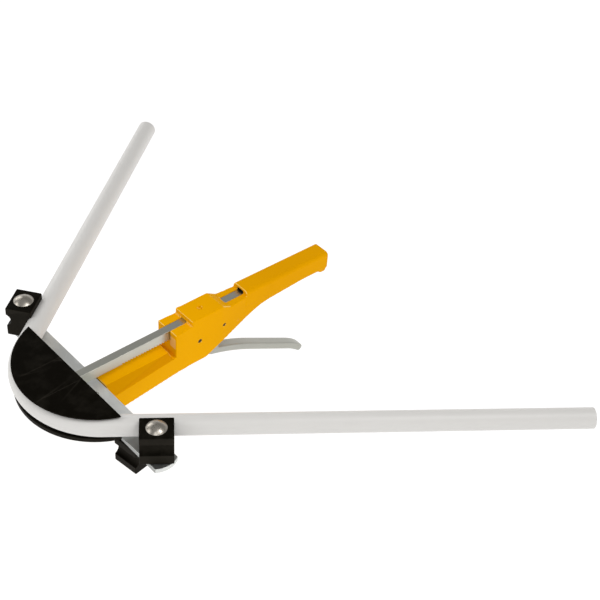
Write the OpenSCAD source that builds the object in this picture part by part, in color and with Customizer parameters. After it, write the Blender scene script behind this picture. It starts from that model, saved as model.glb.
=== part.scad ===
// Hand tube bender of the crossbow kind: a ratchet lever drives a toothed push rod, and the former
// on its nose bends the tube between two grooved slides that swivel on a flat cross beam.
// X runs along the tool towards the grip, Z is up. The origin lies on the flat underside of the
// body, below the centre of the former. The tube is drawn fully bent, with the rod run out.

/* [Tube] */
// Outside diameter of the tube
tube_d = 26; // [20:0.5:32]
// Wall of the tube
tube_wall = 3; // [1:0.25:5]
// Radius of the former's groove, to the middle of the tube
bend_r = 94; // [82:1:116]
// How far the legs have sprung open from the line of the groove
leg_out = 4; // [0:0.5:8]
// Straight leg on the right-hand side
leg_right = 582; // [300:1:700]
// Straight leg on the left-hand side
leg_left = 513; // [300:1:700]
// Height of the tube's middle above the underside of the body
tube_h = 57; // [54:0.5:70]

/* [Former] */
// How far the flanges reach past the middle of the tube
former_lip = 10; // [4:0.5:13]
// How much the groove opens on each side towards its rim
groove_flare = 2; // [0:0.25:2.5]
// Thickness over the groove
former_cover = 3.7; // [3:0.1:8]
// Thickness under the groove
former_sole = 8.2; // [6:0.1:12]
// Distance of the flat back in front of the former's centre
former_back = 36.7; // [30:0.1:45]
// How deep the nose of the rod sits in the former
nose_len = 34; // [25:1:40]
// Least wall of the former in front of the rod's end
nose_wall = 4; // [3:0.5:8]
// Diameter of the pin that holds the former on the rod
former_pin_d = 6; // [4:0.5:8]
// Height of that pin above the underside of the rod
former_pin_up = 9; // [5:0.5:12]

/* [Cross beam] */
// Width of the flat bar
beam_w = 33; // [30:0.5:40]
// Thickness of the flat bar
beam_t = 6; // [5:0.25:8]
// Radius of its round ends
beam_end_r = 29; // [20:0.5:60]
// How far the bar runs past the slide bolts
beam_end = 23.4; // [18:0.2:35]
// Distance of the bar's middle line in front of the former's centre
beam_front = 17.5; // [16.9:0.1:24]
// Distance of the two screws from the middle plane
beam_screw_y = 15; // [12:0.5:18]
// Diameter of the screws that hold the bar to the body
beam_screw_d = 8; // [5:0.5:8]
// Diameter of their heads
beam_screw_head_d = 13; // [10:0.5:14]
// Height of their heads
beam_screw_head_h = 8; // [4:0.5:10]

/* [Slides] */
// Length of a slide along the tube
slide_len = 40; // [34:0.5:50]
// Width of a slide across the tube
slide_w = 33.5; // [30:0.5:40]
// Height of a slide
slide_h = 43; // [40:0.5:50]
// How far the middle of the tube stands clear of the slide's face
tube_proud = 6.8; // [4:0.1:10]
// Diameter of the spare groove on the outer face
spare_groove_d = 20; // [14:0.5:24]
// How far the middle of the spare groove lies outside the outer face
spare_groove_out = 4; // [2:0.1:6]
// Diameter of the slide bolts
slide_bolt_d = 10; // [8:0.5:12]
// Diameter of their domed heads
slide_head_d = 25; // [20:0.5:28]
// Height of their domed heads
slide_head_h = 5; // [3:0.25:8]
// Thickness of the washers under the beam
slide_washer_t = 2; // [1:0.25:3]
// Diameter of the washers under the beam
slide_washer_d = 20; // [18:0.5:26]
// Nut height
slide_nut_h = 8; // [5:0.5:10]
// Nut size across its corners
slide_nut_d = 18.5; // [16:0.5:22]
// How far the bolt ends stand out of the nuts
slide_bolt_end = 2; // [0.5:0.25:4]

/* [Lower slides] */
// Length along the groove
low_len = 35.5; // [28:0.5:40]
// Width across the groove
low_w = 34.5; // [28:0.5:38]
// Height
low_h = 40; // [34:0.5:46]
// Distance from the middle plane
low_y = 96; // [88:0.5:105]
// How far each one is turned from the line of the beam
low_turn = 8; // [0:0.5:20]
// Diameter of the groove
low_groove_d = 20; // [14:0.5:22]
// How far the middle of the groove lies outside the face
low_groove_out = 4; // [2:0.1:6]
// Diameter of the bolts
low_bolt_d = 8; // [6:0.5:10]
// Diameter of the countersunk heads
low_head_d = 15; // [12:0.5:18]
// Height of the countersunk heads
low_head_h = 4; // [2:0.25:4.5]
// Washer thickness
low_washer_t = 1.6; // [1:0.1:2.5]
// Washer diameter
low_washer_d = 17; // [14:0.5:24]
// Nut height
low_nut_h = 6.5; // [4:0.5:8]
// Nut size across its corners
low_nut_d = 15; // [12:0.5:18]
// How far the bolt ends stand out of the nuts
low_bolt_end = 1.5; // [0.5:0.25:4]

/* [Push rod] */
// Width of the rod
rod_w = 11; // [9:0.25:12]
// Height of the rod
rod_h = 15; // [13:0.25:16]
// How far the middle of the rod lies below the middle of the tube
rod_drop = 1.2; // [0:0.1:3]
// Pitch of the ratchet teeth
tooth_pitch = 4; // [3:0.25:6]
// Depth of the ratchet teeth
tooth_depth = 2.2; // [1.8:0.1:3]
// Number of teeth the rod travels over a full bend
stroke_teeth = 26; // [20:1:30]
// Teeth cut in front of and behind those that do the work
spare_teeth = 8; // [6:1:9]
// Diameter of the stop pin across the tail
stop_pin_d = 4; // [3:0.25:5]
// How far the stop pin stands out on each side
stop_pin_out = 2.3; // [1:0.1:3]
// Distance of the stop pin from the end of the rod
stop_pin_in = 6; // [4:0.5:10]

/* [Body] */
// Width of the body across its cheeks
body_w = 35.6; // [34:0.2:44]
// Width of the nose under the beam
nose_w = 56; // [46:1:64]
// Radius of the nose's corners
nose_corner = 8; // [2:0.5:12]
// Width of the front block
block_w = 38; // [35.6:0.2:46]
// Width of the ridge along the top of the arm
ridge_w = 21; // [16:0.5:26]
// How far the ridge stands above the beam
ridge_up = 0.5; // [0.2:0.1:1]
// Width of the notch between the ridge and the front block
notch_w = 5.7; // [3:0.1:10]
// Room between the drawn-back former and the front block
block_room = 34.4; // [25:0.5:45]
// Length of the open slot in the front block
slot_len = 26.8; // [20:0.2:32]
// Length of the raised bridge over the rod
bridge_len = 49.5; // [44:0.5:56]
// Metal over the rod in the bridge
bridge_wall = 7.9; // [6:0.1:10]
// Length of the slope behind the bridge
slope_len = 14; // [8:0.5:18]
// How far the open slot of the deck cuts into the slope
slope_cut = 2.5; // [1:0.25:5]
// Length of the low deck between the slope and the grip
deck_len = 28; // [20:0.5:34]
// How far the front block and the deck stand above the rod
block_over = 0.7; // [0.2:0.1:2]
// Width of the hollow between the cheeks
hollow_w = 19; // [17.5:0.25:21]
// Thickness of the front wall of the hollow
hollow_front = 20; // [12:0.5:24]
// Distance from the front block to the back wall of the hollow
hollow_back = 112; // [108:0.5:116]
// Distance from the front block to the foot of the cheeks' lower edge
cheek_start = 50; // [40:0.5:60]
// How far the cheeks run along the grip
cheek_run = 110; // [90:1:120]
// How far their lower edge ends above the underside of the grip
cheek_lift = 1; // [0:0.1:2]
// How far the cheeks lie inside the sides of the grip
cheek_in = 0.4; // [0.2:0.1:1]

/* [Grip] */
// Width of the grip
grip_w = 28; // [25:0.5:32]
// Height of the grip
grip_h = 28.5; // [27.5:0.25:34]
// Radius of its edges
grip_round = 5.5; // [4:0.25:10]
// Length of the grip
grip_len = 144; // [135:1:165]
// Downward tilt of the grip
grip_tilt = 1.2; // [0:0.1:2]
// Room above the rod in the mouth of the grip's bore
mouth_up = 4.5; // [2:0.1:5]
// Length of that mouth
mouth_len = 13; // [6:0.5:20]
// Solid end of the grip behind the rod's bore
grip_end = 9; // [6:0.5:14]
// How far the palm stop reaches below the grip
palm_stop = 5; // [2:0.5:8]
// Length of the palm stop
palm_len = 16; // [10:0.5:22]

/* [Lever] */
// Distance of the lever pin behind the front block
lever_pin_back = 39.3; // [37:0.1:42]
// Depth of the lever pin below the rod
lever_pin_drop = 15.3; // [14.5:0.1:18]
// Diameter of the lever pin
lever_pin_d = 6; // [4:0.25:6]
// Radius of the lever's hub
lever_hub_r = 9; // [7:0.25:9.5]
// Width of the lever's hub and arm
lever_hub_w = 16; // [14.5:0.25:16.5]
// Distance of the handle's start behind the lever pin
handle_back = 30.5; // [28:0.5:44]
// Depth of the handle's start below the lever pin
handle_drop = 42.4; // [40:0.1:52]
// Width of the handle
handle_w = 16; // [12:0.5:18]
// Thickness of the handle
handle_t = 10.2; // [7:0.2:12]
// Slope of the handle where it starts
handle_slope = 17.5; // [14:0.5:24]
// Length of the bend where the handle leaves the arm
handle_curve = 72; // [40:1:84]
// Length of the straight middle of the handle
handle_straight = 84; // [50:1:95]
// Length of the drooping end
handle_droop = 24; // [16:1:60]
// Turn of the first bend
handle_curve_turn = 11.5; // [6:0.5:16]
// Turn of the drooping end
handle_droop_turn = 14; // [8:0.5:30]
// Full squeeze of the lever
lever_squeeze = 29; // [20:1:30]

/* [Ratchet] */
// Distance of the drive pawl's pin from the lever pin
drive_arm = 8; // [7.5:0.1:8.5]
// Diameter of the drive pawl's pin
drive_pin_d = 4; // [2.5:0.25:4]
// Reach of the drive pawl in front of its pin
drive_reach = 13; // [11:0.25:15]
// Radius of the drive pawl's eye
drive_eye_r = 4; // [3.5:0.1:4.2]
// Width of the drive pawl
drive_pawl_w = 5; // [4:0.25:5.5]
// Distance of the holding pawl's pin behind the lever pin
hold_back = 40; // [36:0.5:44]
// Depth of the holding pawl's pin below the rod
hold_drop = 9.3; // [8.5:0.1:11]
// Diameter of the holding pawl's pin
hold_pin_d = 5; // [4:0.25:5]
// Reach of the holding pawl in front of its pin
hold_reach = 15.5; // [14:0.25:17]
// Radius of the holding pawl's eye
hold_eye_r = 5; // [4.5:0.1:5.5]
// Width of the holding pawl
hold_pawl_w = 8; // [6:0.25:9]
// How far the pawls lie below the teeth while the rod is free
pawl_clear = 0.6; // [0.5:0.05:1]
// Distance of the return spring's pin behind the lever pin
spring_back = 65; // [62:0.5:67]
// Height of the return spring's pin below the lever pin
spring_drop = 1.5; // [0:0.1:3]
// Diameter of the return spring's pin
spring_pin_d = 3; // [2:0.25:4]
// Wire of the springs
spring_wire = 1.2; // [0.8:0.1:1.4]
// Diameter of the guide screw in the bridge
guide_screw_d = 6; // [4:0.5:8]
// Size across the corners of its socket
guide_key_d = 3.4; // [2:0.2:4]

/* [Clearances] */
// Gap between the tube and its grooves
tube_clear = 0.3; // [0.2:0.05:0.5]
// Gap between the rod and the body
rod_clear = 0.3; // [0.2:0.05:0.5]
// Running gap round a pin or bolt
pin_run = 0.05; // [0.02:0.01:0.08]
// Gap round a pin or screw that stays put
pin_fit = 0.02; // [0.01:0.01:0.05]
// Gap between parts that turn face to face
face_gap = 0.3; // [0.2:0.05:0.5]
// Gap between the former and the beam under it
former_gap = 2; // [1.5:0.1:3]
// How far the cross pins lie inside the cheeks
pin_inset = 1; // [0.5:0.1:2]

/* [Hidden] */
$fn = 64;

paint = [0.93, 0.64, 0.02];
light_grey = [0.70, 0.70, 0.66];
black = [0.07, 0.07, 0.06];
steel = [0.62, 0.62, 0.60];
bright = [0.82, 0.82, 0.80];
white = [0.88, 0.88, 0.87];

// Angle of each leg to the long axis: three across for every four along
leg_angle = asin(0.6);

// Heights of the tube, the former and the beam
tube_r = tube_d / 2;
groove_r = tube_r + tube_clear;
former_r = bend_r + former_lip;
former_top = tube_h + groove_r + former_cover;
former_bottom = tube_h - groove_r - former_sole;
beam_top = former_bottom - former_gap;
beam_bottom = beam_top - beam_t;

// Bend of the tube: it lies in the groove at the front and runs into the two legs
leg_r = bend_r + leg_out;
tube_bend_x = leg_out / (1 - sin(leg_angle));
tube_bend_r = leg_r + sin(leg_angle) * tube_bend_x;

// Slides: the bolt lies where the tube's leg runs tube_proud clear of the slide's face
slide_seat = slide_w / 2 + tube_proud;
slide_x = -beam_front;
slide_y = (leg_r + slide_seat - sin(leg_angle) * beam_front) / cos(leg_angle);
slide_bottom = beam_top + face_gap;
slide_top = slide_bottom + slide_h;
slide_nut_top = beam_bottom - slide_washer_t;
slide_bolt_low = slide_nut_top - slide_nut_h - slide_bolt_end;
beam_len = 2 * (slide_y + beam_end);

// Lower slides hang under the beam
low_top = beam_bottom - face_gap;
low_bottom = low_top - low_h;
low_nut_top = low_bottom - face_gap - low_washer_t;
low_bolt_low = low_nut_top - low_nut_h - low_bolt_end;

// Rod and its travel
stroke = stroke_teeth * tooth_pitch;
rod_bottom = tube_h - rod_drop - rod_h / 2;
rod_top = rod_bottom + rod_h;
rod_front = -min(former_back + nose_len, bend_r - groove_r - nose_wall);
former_pin_x = (rod_front - former_back) / 2;

// Stations along the body
block_x = stroke - former_back + block_room;
bridge_x = block_x + slot_len;
deck_x = bridge_x + bridge_len;
slope_x = deck_x + slope_len;
window_x = slope_x - slope_cut;
grip_x = slope_x + deck_len;
grip_back = grip_x + grip_len;
bore_end = grip_back - grip_end;
rod_back = bore_end - stroke - 2 * face_gap;
stop_pin_x = rod_back - stop_pin_in;
stop_slot_half = rod_w / 2 + stop_pin_out + face_gap;
block_top = rod_top + block_over;
bridge_top = rod_top + rod_clear + bridge_wall;
channel_half = rod_w / 2 + rod_clear;
channel_floor = rod_bottom - rod_clear;
channel_roof = rod_top + rod_clear;
body_half = body_w / 2;
hollow_half = hollow_w / 2;
hollow_x0 = block_x + hollow_front;
hollow_x1 = block_x + hollow_back;
ridge_top = beam_top + ridge_up;
ridge_back = block_x - notch_w;
// Lower edge of the cheeks, in shares of its run back and its rise to the grip
cheek_low = [block_x + cheek_start, 0];
cheek_high = [grip_x + cheek_run, bridge_top - grip_h + cheek_lift];
cheek_line = [[0, 0], [0.143, 0.28], [0.27, 0.465], [0.37, 0.605], [0.47, 0.78], [0.53, 0.86], [0.6, 0.905],
    [0.77, 0.945], [1, 1]];

// Pins of the ratchet, as [x, z]
lever_pin_at = [block_x + lever_pin_back, rod_bottom - lever_pin_drop];
drive_pin_at = lever_pin_at + drive_arm * [sin(lever_squeeze / 2), cos(lever_squeeze / 2)];
hold_pin_at = [lever_pin_at[0] + hold_back, rod_bottom - hold_drop];
spring_pin_at = [lever_pin_at[0] + spring_back, lever_pin_at[1] - spring_drop];
pawl_tip_z = rod_bottom - pawl_clear;
drive_rise = pawl_tip_z - drive_pin_at[1];
hold_rise = pawl_tip_z - hold_pin_at[1];
fork_half = drive_pawl_w / 2 + 2 * spring_wire;
// The teeth stand so that the holding pawl drops behind one of them
tooth_face = hold_pin_at[0] - hold_reach - 0.15;
first_tooth = tooth_face - (stroke_teeth + spare_teeth) * tooth_pitch;
tooth_count = stroke_teeth + 2 * spare_teeth;

// Handle of the lever: its middle line leaves the arm and turns down in two bends
handle_at = lever_pin_at + [handle_back, -handle_drop];
handle_steps = 8;
function bend_steps(length, turn) = [for (i = [1:handle_steps]) [length / handle_steps, turn / handle_steps]];
handle_moves = concat(bend_steps(handle_curve, handle_curve_turn), [[handle_straight, 0]],
    bend_steps(handle_droop, handle_droop_turn));
function slope_after(n) = n == 0 ? handle_slope : slope_after(n - 1) + handle_moves[n - 1][1];
function handle_slope_at(n) = n == 0 ? handle_slope : slope_after(n) - handle_moves[n - 1][1] / 2;
function handle_point(n) = n == 0 ? handle_at : handle_point(n - 1)
    + handle_moves[n - 1][0] * [cos(handle_slope_at(n)), -sin(handle_slope_at(n))];
function handle_side(n, half) = handle_point(n) + half * [sin(slope_after(n)), cos(slope_after(n))];
handle_last = len(handle_moves);

// Draws a side view, given as x and z, to a width centred on the middle plane
module across(width) {
    rotate([90, 0, 0]) linear_extrude(width, center = true) children();
}

// A round bar or bore across the tool at a pin's place, from one y to another
module cross_bar(at, d, y0, y1) {
    translate([at[0], y1, at[1]]) rotate([90, 0, 0]) cylinder(d = d, h = y1 - y0);
}

// A flat outline with round corners
module round_plate(size_x, size_y, r) {
    square([size_x - 2 * r, size_y], center = true);
    square([size_x, size_y - 2 * r], center = true);
    for (x = [-1, 1], y = [-1, 1])
        translate([x * (size_x / 2 - r), y * (size_y / 2 - r)]) circle(r);
}

// Repeats a piece on both sides of the middle plane
module both_sides() {
    children();
    mirror([0, 1, 0]) children();
}

// Half the width of the body at a station behind the front block
function cheek_half(x) = x <= deck_x ? body_half
    : max(grip_w / 2, body_half - (body_half - grip_w / 2) * (x - deck_x) / (grip_x - deck_x));

// Plan of the body: a wide nose, an arm that narrows to the block, and cheeks that narrow to the grip
module body_plan() {
    nose_front = -beam_front - beam_w / 2;
    half = nose_w / 2;
    cheek = grip_w / 2 - cheek_in;
    edge = [[nose_front, half - nose_corner], [nose_front + nose_corner, half], [0, half],
        [block_x, block_w / 2], [bridge_x, body_half], [deck_x, body_half], [grip_x, cheek],
        [grip_x + grip_len, cheek]];
    polygon(concat(edge, [for (i = [len(edge) - 1:-1:0]) [edge[i][0], -edge[i][1]]]));
}

// Side view of the block, the bridge, its slope, the deck and the cheeks that run into the grip
module body_side() {
    grip_mid = bridge_top - grip_h / 2;
    run = cheek_high - cheek_low;
    polygon(concat(
        [[block_x, 0]],
        [for (p = cheek_line) cheek_low + [p[0] * run[0], p[1] * run[1]]],
        [[cheek_high[0], grip_mid], [grip_x + 1, grip_mid], [grip_x + 1, block_top], [slope_x, block_top],
            [deck_x, bridge_top], [bridge_x, bridge_top], [bridge_x, block_top], [block_x, block_top]]));
}

// Solid outline of the casting before it is hollowed
module body_solid() {
    intersection() {
        union() {
            across(2 * nose_w) body_side();
            translate([-3 * beam_w, -nose_w, 0]) cube([3 * beam_w + block_x + 10, 2 * nose_w, beam_bottom]);
        }
        linear_extrude(2 * bridge_top) body_plan();
    }
    hull() {
        translate([0, 0, beam_bottom - 0.1]) ridge_end(0.02, nose_w);
        translate([ridge_back - 0.02, 0, beam_bottom - 0.1])
            ridge_end(0.02, nose_w + (block_w - nose_w) * ridge_back / block_x);
    }
    grip();
}

// One end of the ridge on the arm, as a thin slice
module ridge_end(thick, base_w) {
    rise = ridge_top - beam_bottom + 0.1;
    rotate([90, 0, 90]) linear_extrude(thick)
        polygon([[-base_w / 2, 0], [base_w / 2, 0], [ridge_w / 2, rise], [-ridge_w / 2, rise]]);
}

// The grip: a bar with round edges and a palm stop at the back
module grip() {
    translate([grip_x, 0, bridge_top]) rotate([0, grip_tilt, 0]) {
        translate([0, 0, -grip_h / 2]) rotate([90, 0, 90])
            linear_extrude(grip_len) round_plate(grip_w, grip_h, grip_round);
        translate([grip_len - palm_len, 0, 0]) intersection() {
            across(grip_w) polygon([[0, -0.93 * grip_h], [0.375 * palm_len, -grip_h - palm_stop / 2],
                [0.625 * palm_len, -grip_h - palm_stop], [0.875 * palm_len, -grip_h - palm_stop],
                [palm_len, -grip_h / 2], [0, -grip_h / 2]]);
            translate([0, 0, -(grip_h + palm_stop) / 2]) rotate([90, 0, 90])
                linear_extrude(palm_len) round_plate(grip_w - 2, grip_h + palm_stop, grip_round);
        }
    }
}

// Yellow casting: nose, arm, block, bridge, cheeks and grip in one piece
module body_casting() {
    past = 1;
    color(paint) difference() {
        body_solid();
        // channel of the rod, open on top at the front block and in the deck
        translate([block_x - past, -channel_half, channel_floor])
            cube([bore_end - block_x + past, 2 * channel_half, channel_roof - channel_floor]);
        translate([block_x - past, -channel_half, rod_top])
            cube([slot_len + past, 2 * channel_half, bridge_top]);
        translate([window_x, -channel_half, rod_top])
            cube([grip_x - window_x, 2 * channel_half, bridge_top]);
        // taller mouth of the grip's bore
        translate([grip_x - past, -channel_half, rod_top])
            cube([mouth_len + past, 2 * channel_half, mouth_up]);
        // runs for the stop pin
        translate([stop_pin_x - stop_pin_d / 2 - face_gap, -stop_slot_half,
                tube_h - rod_drop - stop_pin_d / 2 - face_gap])
            cube([stroke + stop_pin_d + 3 * face_gap, 2 * stop_slot_half, stop_pin_d + 2 * face_gap]);
        // hollow between the cheeks, open below
        translate([hollow_x0, -hollow_half, -past])
            cube([hollow_x1 - hollow_x0, hollow_w, channel_floor + 2 * past]);
        // holes for the cross pins, the beam's screws and the guide screw
        cross_bar(lever_pin_at, lever_pin_d + 2 * pin_fit, -nose_w, nose_w);
        cross_bar(hold_pin_at, hold_pin_d + 2 * pin_fit, -nose_w, nose_w);
        cross_bar(spring_pin_at, spring_pin_d + 2 * pin_fit, -nose_w, nose_w);
        both_sides() translate([slide_x, beam_screw_y, -past]) {
            cylinder(d = beam_screw_d + 2 * pin_fit, h = 2 * beam_bottom);
            cylinder(d = beam_screw_head_d + 1, h = beam_screw_head_h + past + face_gap);
        }
        translate([(bridge_x + deck_x) / 2, 0, rod_top])
            cylinder(d = guide_screw_d + 2 * pin_fit, h = bridge_top);
    }
}

// Solid of the flat bar, with round ends
module beam_bar() {
    straight = beam_len - 2 * beam_end_r;
    intersection() {
        translate([-beam_w / 2, -beam_len, 0]) cube([beam_w, 2 * beam_len, beam_t]);
        union() {
            translate([-2 * beam_end_r, -straight / 2, -1]) cube([4 * beam_end_r, straight, beam_t + 2]);
            both_sides() translate([0, straight / 2, -1]) cylinder(r = beam_end_r, h = beam_t + 2);
        }
    }
}

// Flat bar across the front, with holes for the slides' bolts and for its own screws
module cross_beam() {
    color(bright) translate([slide_x, 0, beam_bottom]) difference() {
        beam_bar();
        both_sides() {
            translate([0, slide_y, -1]) cylinder(d = slide_bolt_d + 2 * pin_fit, h = beam_t + 2);
            translate([0, beam_screw_y, -1]) cylinder(d = beam_screw_d + 2 * pin_fit, h = beam_t + 2);
            translate([0, low_y, -1]) cylinder(d = low_bolt_d + 2 * pin_fit, h = beam_t + 2);
            translate([0, low_y, beam_t]) countersink(pin_fit);
        }
    }
}

// Cone of a countersunk head, drawn down from the top of the beam, with a gap round it
module countersink(gap) {
    rotate_extrude() polygon([[0, -low_head_h - gap], [low_bolt_d / 2 + gap, -low_head_h - gap],
        [low_head_d / 2 + gap, 0], [0, 0]]);
}

// Socket screws that hold the beam, driven from below into the bar
module beam_screws() {
    end_gap = 0.5;
    color(steel) both_sides() translate([slide_x, beam_screw_y, face_gap]) difference() {
        union() {
            cylinder(d = beam_screw_head_d, h = beam_screw_head_h);
            cylinder(d = beam_screw_d, h = beam_top - face_gap - end_gap);
        }
        translate([0, 0, -1]) cylinder(d = beam_screw_d * 0.8, h = beam_screw_head_h * 0.6 + 1, $fn = 6);
    }
}

// A grooved slide, square to the tube: the tube runs along Y on the +X side of the bolt
module slide_block() {
    difference() {
        translate([-slide_w / 2, -slide_len / 2, slide_bottom]) cube([slide_w, slide_len, slide_h]);
        translate([slide_seat, slide_len, tube_h]) rotate([90, 0, 0]) cylinder(r = groove_r, h = 2 * slide_len);
        translate([-slide_w / 2 - spare_groove_out, slide_len, tube_h]) rotate([90, 0, 0])
            cylinder(d = spare_groove_d, h = 2 * slide_len);
        cylinder(d = slide_bolt_d + 2 * pin_run, h = 2 * slide_top);
    }
}

// Places a slide on its bolt, turned to the leg of the bent tube
module slide_left() {
    color(black) translate([slide_x, slide_y, 0]) rotate(leg_angle - 90) slide_block();
}

module slide_right() {
    color(black) mirror([0, 1, 0]) translate([slide_x, slide_y, 0]) rotate(leg_angle - 90) slide_block();
}

// Domed bolts: the slides swivel on them
module slide_bolts() {
    dome_r = (pow(slide_head_d / 2, 2) + pow(slide_head_h, 2)) / (2 * slide_head_h);
    color(bright) both_sides() translate([slide_x, slide_y, 0]) {
        translate([0, 0, slide_top + face_gap]) rotate_extrude() intersection() {
            translate([0, slide_head_h - dome_r]) circle(dome_r, $fn = 128);
            square([slide_head_d / 2, slide_head_h]);
        }
        translate([0, 0, slide_bolt_low])
            cylinder(d = slide_bolt_d, h = slide_top + face_gap - slide_bolt_low);
    }
}

// A flat washer lying below a height
module washer(top, d, t, hole) {
    translate([0, 0, top - t]) difference() {
        cylinder(d = d, h = t);
        translate([0, 0, -t]) cylinder(d = hole + 2 * pin_fit, h = 3 * t);
    }
}

// A hexagon nut lying below a height
module nut(top, d, t, hole) {
    translate([0, 0, top - t]) difference() {
        cylinder(d = d, h = t, $fn = 6);
        translate([0, 0, -t]) cylinder(d = hole + 2 * pin_fit, h = 3 * t);
    }
}

module slide_washers() {
    color(steel) both_sides() translate([slide_x, slide_y, 0])
        washer(beam_bottom, slide_washer_d, slide_washer_t, slide_bolt_d);
}

module slide_nuts() {
    color(steel) both_sides() translate([slide_x, slide_y, 0])
        nut(slide_nut_top, slide_nut_d, slide_nut_h, slide_bolt_d);
}

// A smaller slide under the beam, with its groove to the front
module low_block() {
    difference() {
        translate([-low_w / 2, -low_len / 2, low_bottom]) cube([low_w, low_len, low_h]);
        for (side = [-1, 1])
            translate([side * (low_w / 2 + low_groove_out), low_len, (low_top + low_bottom) / 2])
                rotate([90, 0, 0]) cylinder(d = low_groove_d, h = 2 * low_len);
        translate([0, 0, low_bottom - 1]) cylinder(d = low_bolt_d + 2 * pin_run, h = low_h + 2);
    }
}

module lower_slide_left() {
    color(black) translate([slide_x, low_y, 0]) rotate(-low_turn) low_block();
}

module lower_slide_right() {
    color(black) mirror([0, 1, 0]) translate([slide_x, low_y, 0]) rotate(-low_turn) low_block();
}

// Countersunk bolts of the lower slides, flush with the top of the beam
module lower_slide_bolts() {
    color(steel) both_sides() translate([slide_x, low_y, 0]) {
        translate([0, 0, beam_top]) countersink(0);
        translate([0, 0, low_bolt_low]) cylinder(d = low_bolt_d, h = beam_top - low_head_h - low_bolt_low);
    }
}

module lower_slide_washers() {
    color(steel) both_sides() translate([slide_x, low_y, 0])
        washer(low_nut_top + low_washer_t, low_washer_d, low_washer_t, low_bolt_d);
}

module lower_slide_nuts() {
    color(steel) both_sides() translate([slide_x, low_y, 0])
        nut(low_nut_top, low_nut_d, low_nut_h, low_bolt_d);
}

// Side view of the rod: a bar with saw teeth along its underside
module rod_side() {
    teeth = [for (i = [0:tooth_count - 1], corner = [0, 1])
        [first_tooth + i * tooth_pitch, rod_bottom + corner * tooth_depth]];
    polygon(concat([[rod_front, rod_bottom]], teeth,
        [[first_tooth + tooth_count * tooth_pitch, rod_bottom], [rod_back, rod_bottom],
            [rod_back, rod_top], [rod_front, rod_top]]));
}

// Toothed push rod
module push_rod() {
    color(steel) difference() {
        across(rod_w) rod_side();
        translate([former_pin_x, 0, rod_bottom - 1])
            cylinder(d = former_pin_d + 2 * pin_fit, h = former_pin_up + pin_fit + 1);
        cross_bar([stop_pin_x, tube_h - rod_drop], stop_pin_d + 2 * pin_fit, -rod_w, rod_w);
    }
}

// Half section of the former: a disc with a deep round-bottomed groove in its rim
module former_section() {
    difference() {
        translate([0, former_bottom]) square([former_r, former_top - former_bottom]);
        translate([bend_r, tube_h]) {
            circle(groove_r);
            polygon([[0, -groove_r], [former_lip, -groove_r - groove_flare],
                [2 * former_lip, -groove_r - groove_flare], [2 * former_lip, groove_r + groove_flare],
                [former_lip, groove_r + groove_flare], [0, groove_r]]);
        }
    }
}

// Former: the front segment of a grooved disc, with a socket for the rod's nose
module former() {
    color(black) difference() {
        intersection() {
            rotate_extrude($fn = 180) former_section();
            translate([-2 * former_r, -2 * former_r, 0])
                cube([2 * former_r - former_back, 4 * former_r, 2 * former_top]);
        }
        translate([rod_front - pin_fit, -rod_w / 2 - pin_fit, rod_bottom - pin_fit])
            cube([2 * nose_len, rod_w + 2 * pin_fit, rod_h + 2 * pin_fit]);
        translate([former_pin_x, 0, former_bottom - 1])
            cylinder(d = former_pin_d + 2 * pin_fit, h = rod_bottom - former_bottom + 2);
    }
}

// Pin pushed in from below that keeps the former on the rod
module former_pin() {
    color(steel) translate([former_pin_x, 0, former_bottom + pin_inset])
        cylinder(d = former_pin_d, h = rod_bottom + former_pin_up - former_bottom - pin_inset);
}

// Pin across the tail that stops the rod at the end of its travel
module rod_stop_pin() {
    reach = rod_w / 2 + stop_pin_out;
    color(steel) cross_bar([stop_pin_x, tube_h - rod_drop], stop_pin_d, -reach, reach);
}

// Grub screw in the bridge that takes up the play of the rod
module guide_screw() {
    key_depth = 3;
    proud = 0.6;
    color(steel) translate([(bridge_x + deck_x) / 2, 0, channel_roof]) difference() {
        cylinder(d = guide_screw_d, h = bridge_wall + proud);
        translate([0, 0, bridge_wall + proud - key_depth])
            cylinder(d = guide_key_d, h = 2 * key_depth, $fn = 6);
    }
}

// Outline of the handle, from both sides of its middle line, with a round end
module handle_side_view() {
    half = handle_t / 2;
    polygon(concat([for (n = [0:handle_last]) handle_side(n, half)],
        [for (n = [handle_last:-1:0]) handle_side(n, -half)]));
    translate(handle_point(handle_last)) circle(half);
}

// Outline of the hub, the ears round the drive pawl's pin and the arm down to the handle
module arm_side_view() {
    translate(lever_pin_at) circle(lever_hub_r);
    translate(drive_pin_at) circle(1.15 * drive_pin_d);
    polygon([lever_pin_at - [lever_hub_r, 0], lever_pin_at + [lever_hub_r, 0], handle_side(1, handle_t / 2),
        handle_side(0, handle_t / 2), handle_side(0, -handle_t / 2),
        handle_at + [-0.4 * handle_back, 0.035 * handle_drop],
        handle_at + [-0.75 * handle_back, 0.175 * handle_drop]]);
}

// Squeeze lever: a forked hub between the cheeks and a long curved handle
module lever() {
    color(light_grey) difference() {
        union() {
            across(lever_hub_w) arm_side_view();
            across(handle_w) handle_side_view();
        }
        // fork for the drive pawl, open to the front and the top
        across(2 * fork_half) {
            translate(drive_pin_at) circle(1.5 * drive_eye_r + face_gap);
            translate(drive_pin_at) polygon(drive_eye_r
                * [[1.5, 0], [1.5, 5], [-5, 5], [-5, -1.25], [-0.75, -1.25]]);
        }
        cross_bar(lever_pin_at, lever_pin_d + 2 * pin_run, -lever_hub_w, lever_hub_w);
        cross_bar(drive_pin_at, drive_pin_d + 2 * pin_fit, -lever_hub_w, lever_hub_w);
    }
}

module lever_pin() {
    reach = body_half - pin_inset;
    color(steel) cross_bar(lever_pin_at, lever_pin_d, -reach, reach);
}

// A coiled torsion spring, drawn as the sleeve that its turns fill
module spring_sleeve(at, inner_d, y0, y1) {
    difference() {
        cross_bar(at, inner_d + 2 * spring_wire, y0, y1);
        cross_bar(at, inner_d, y0 - 1, y1 + 1);
    }
}

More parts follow.
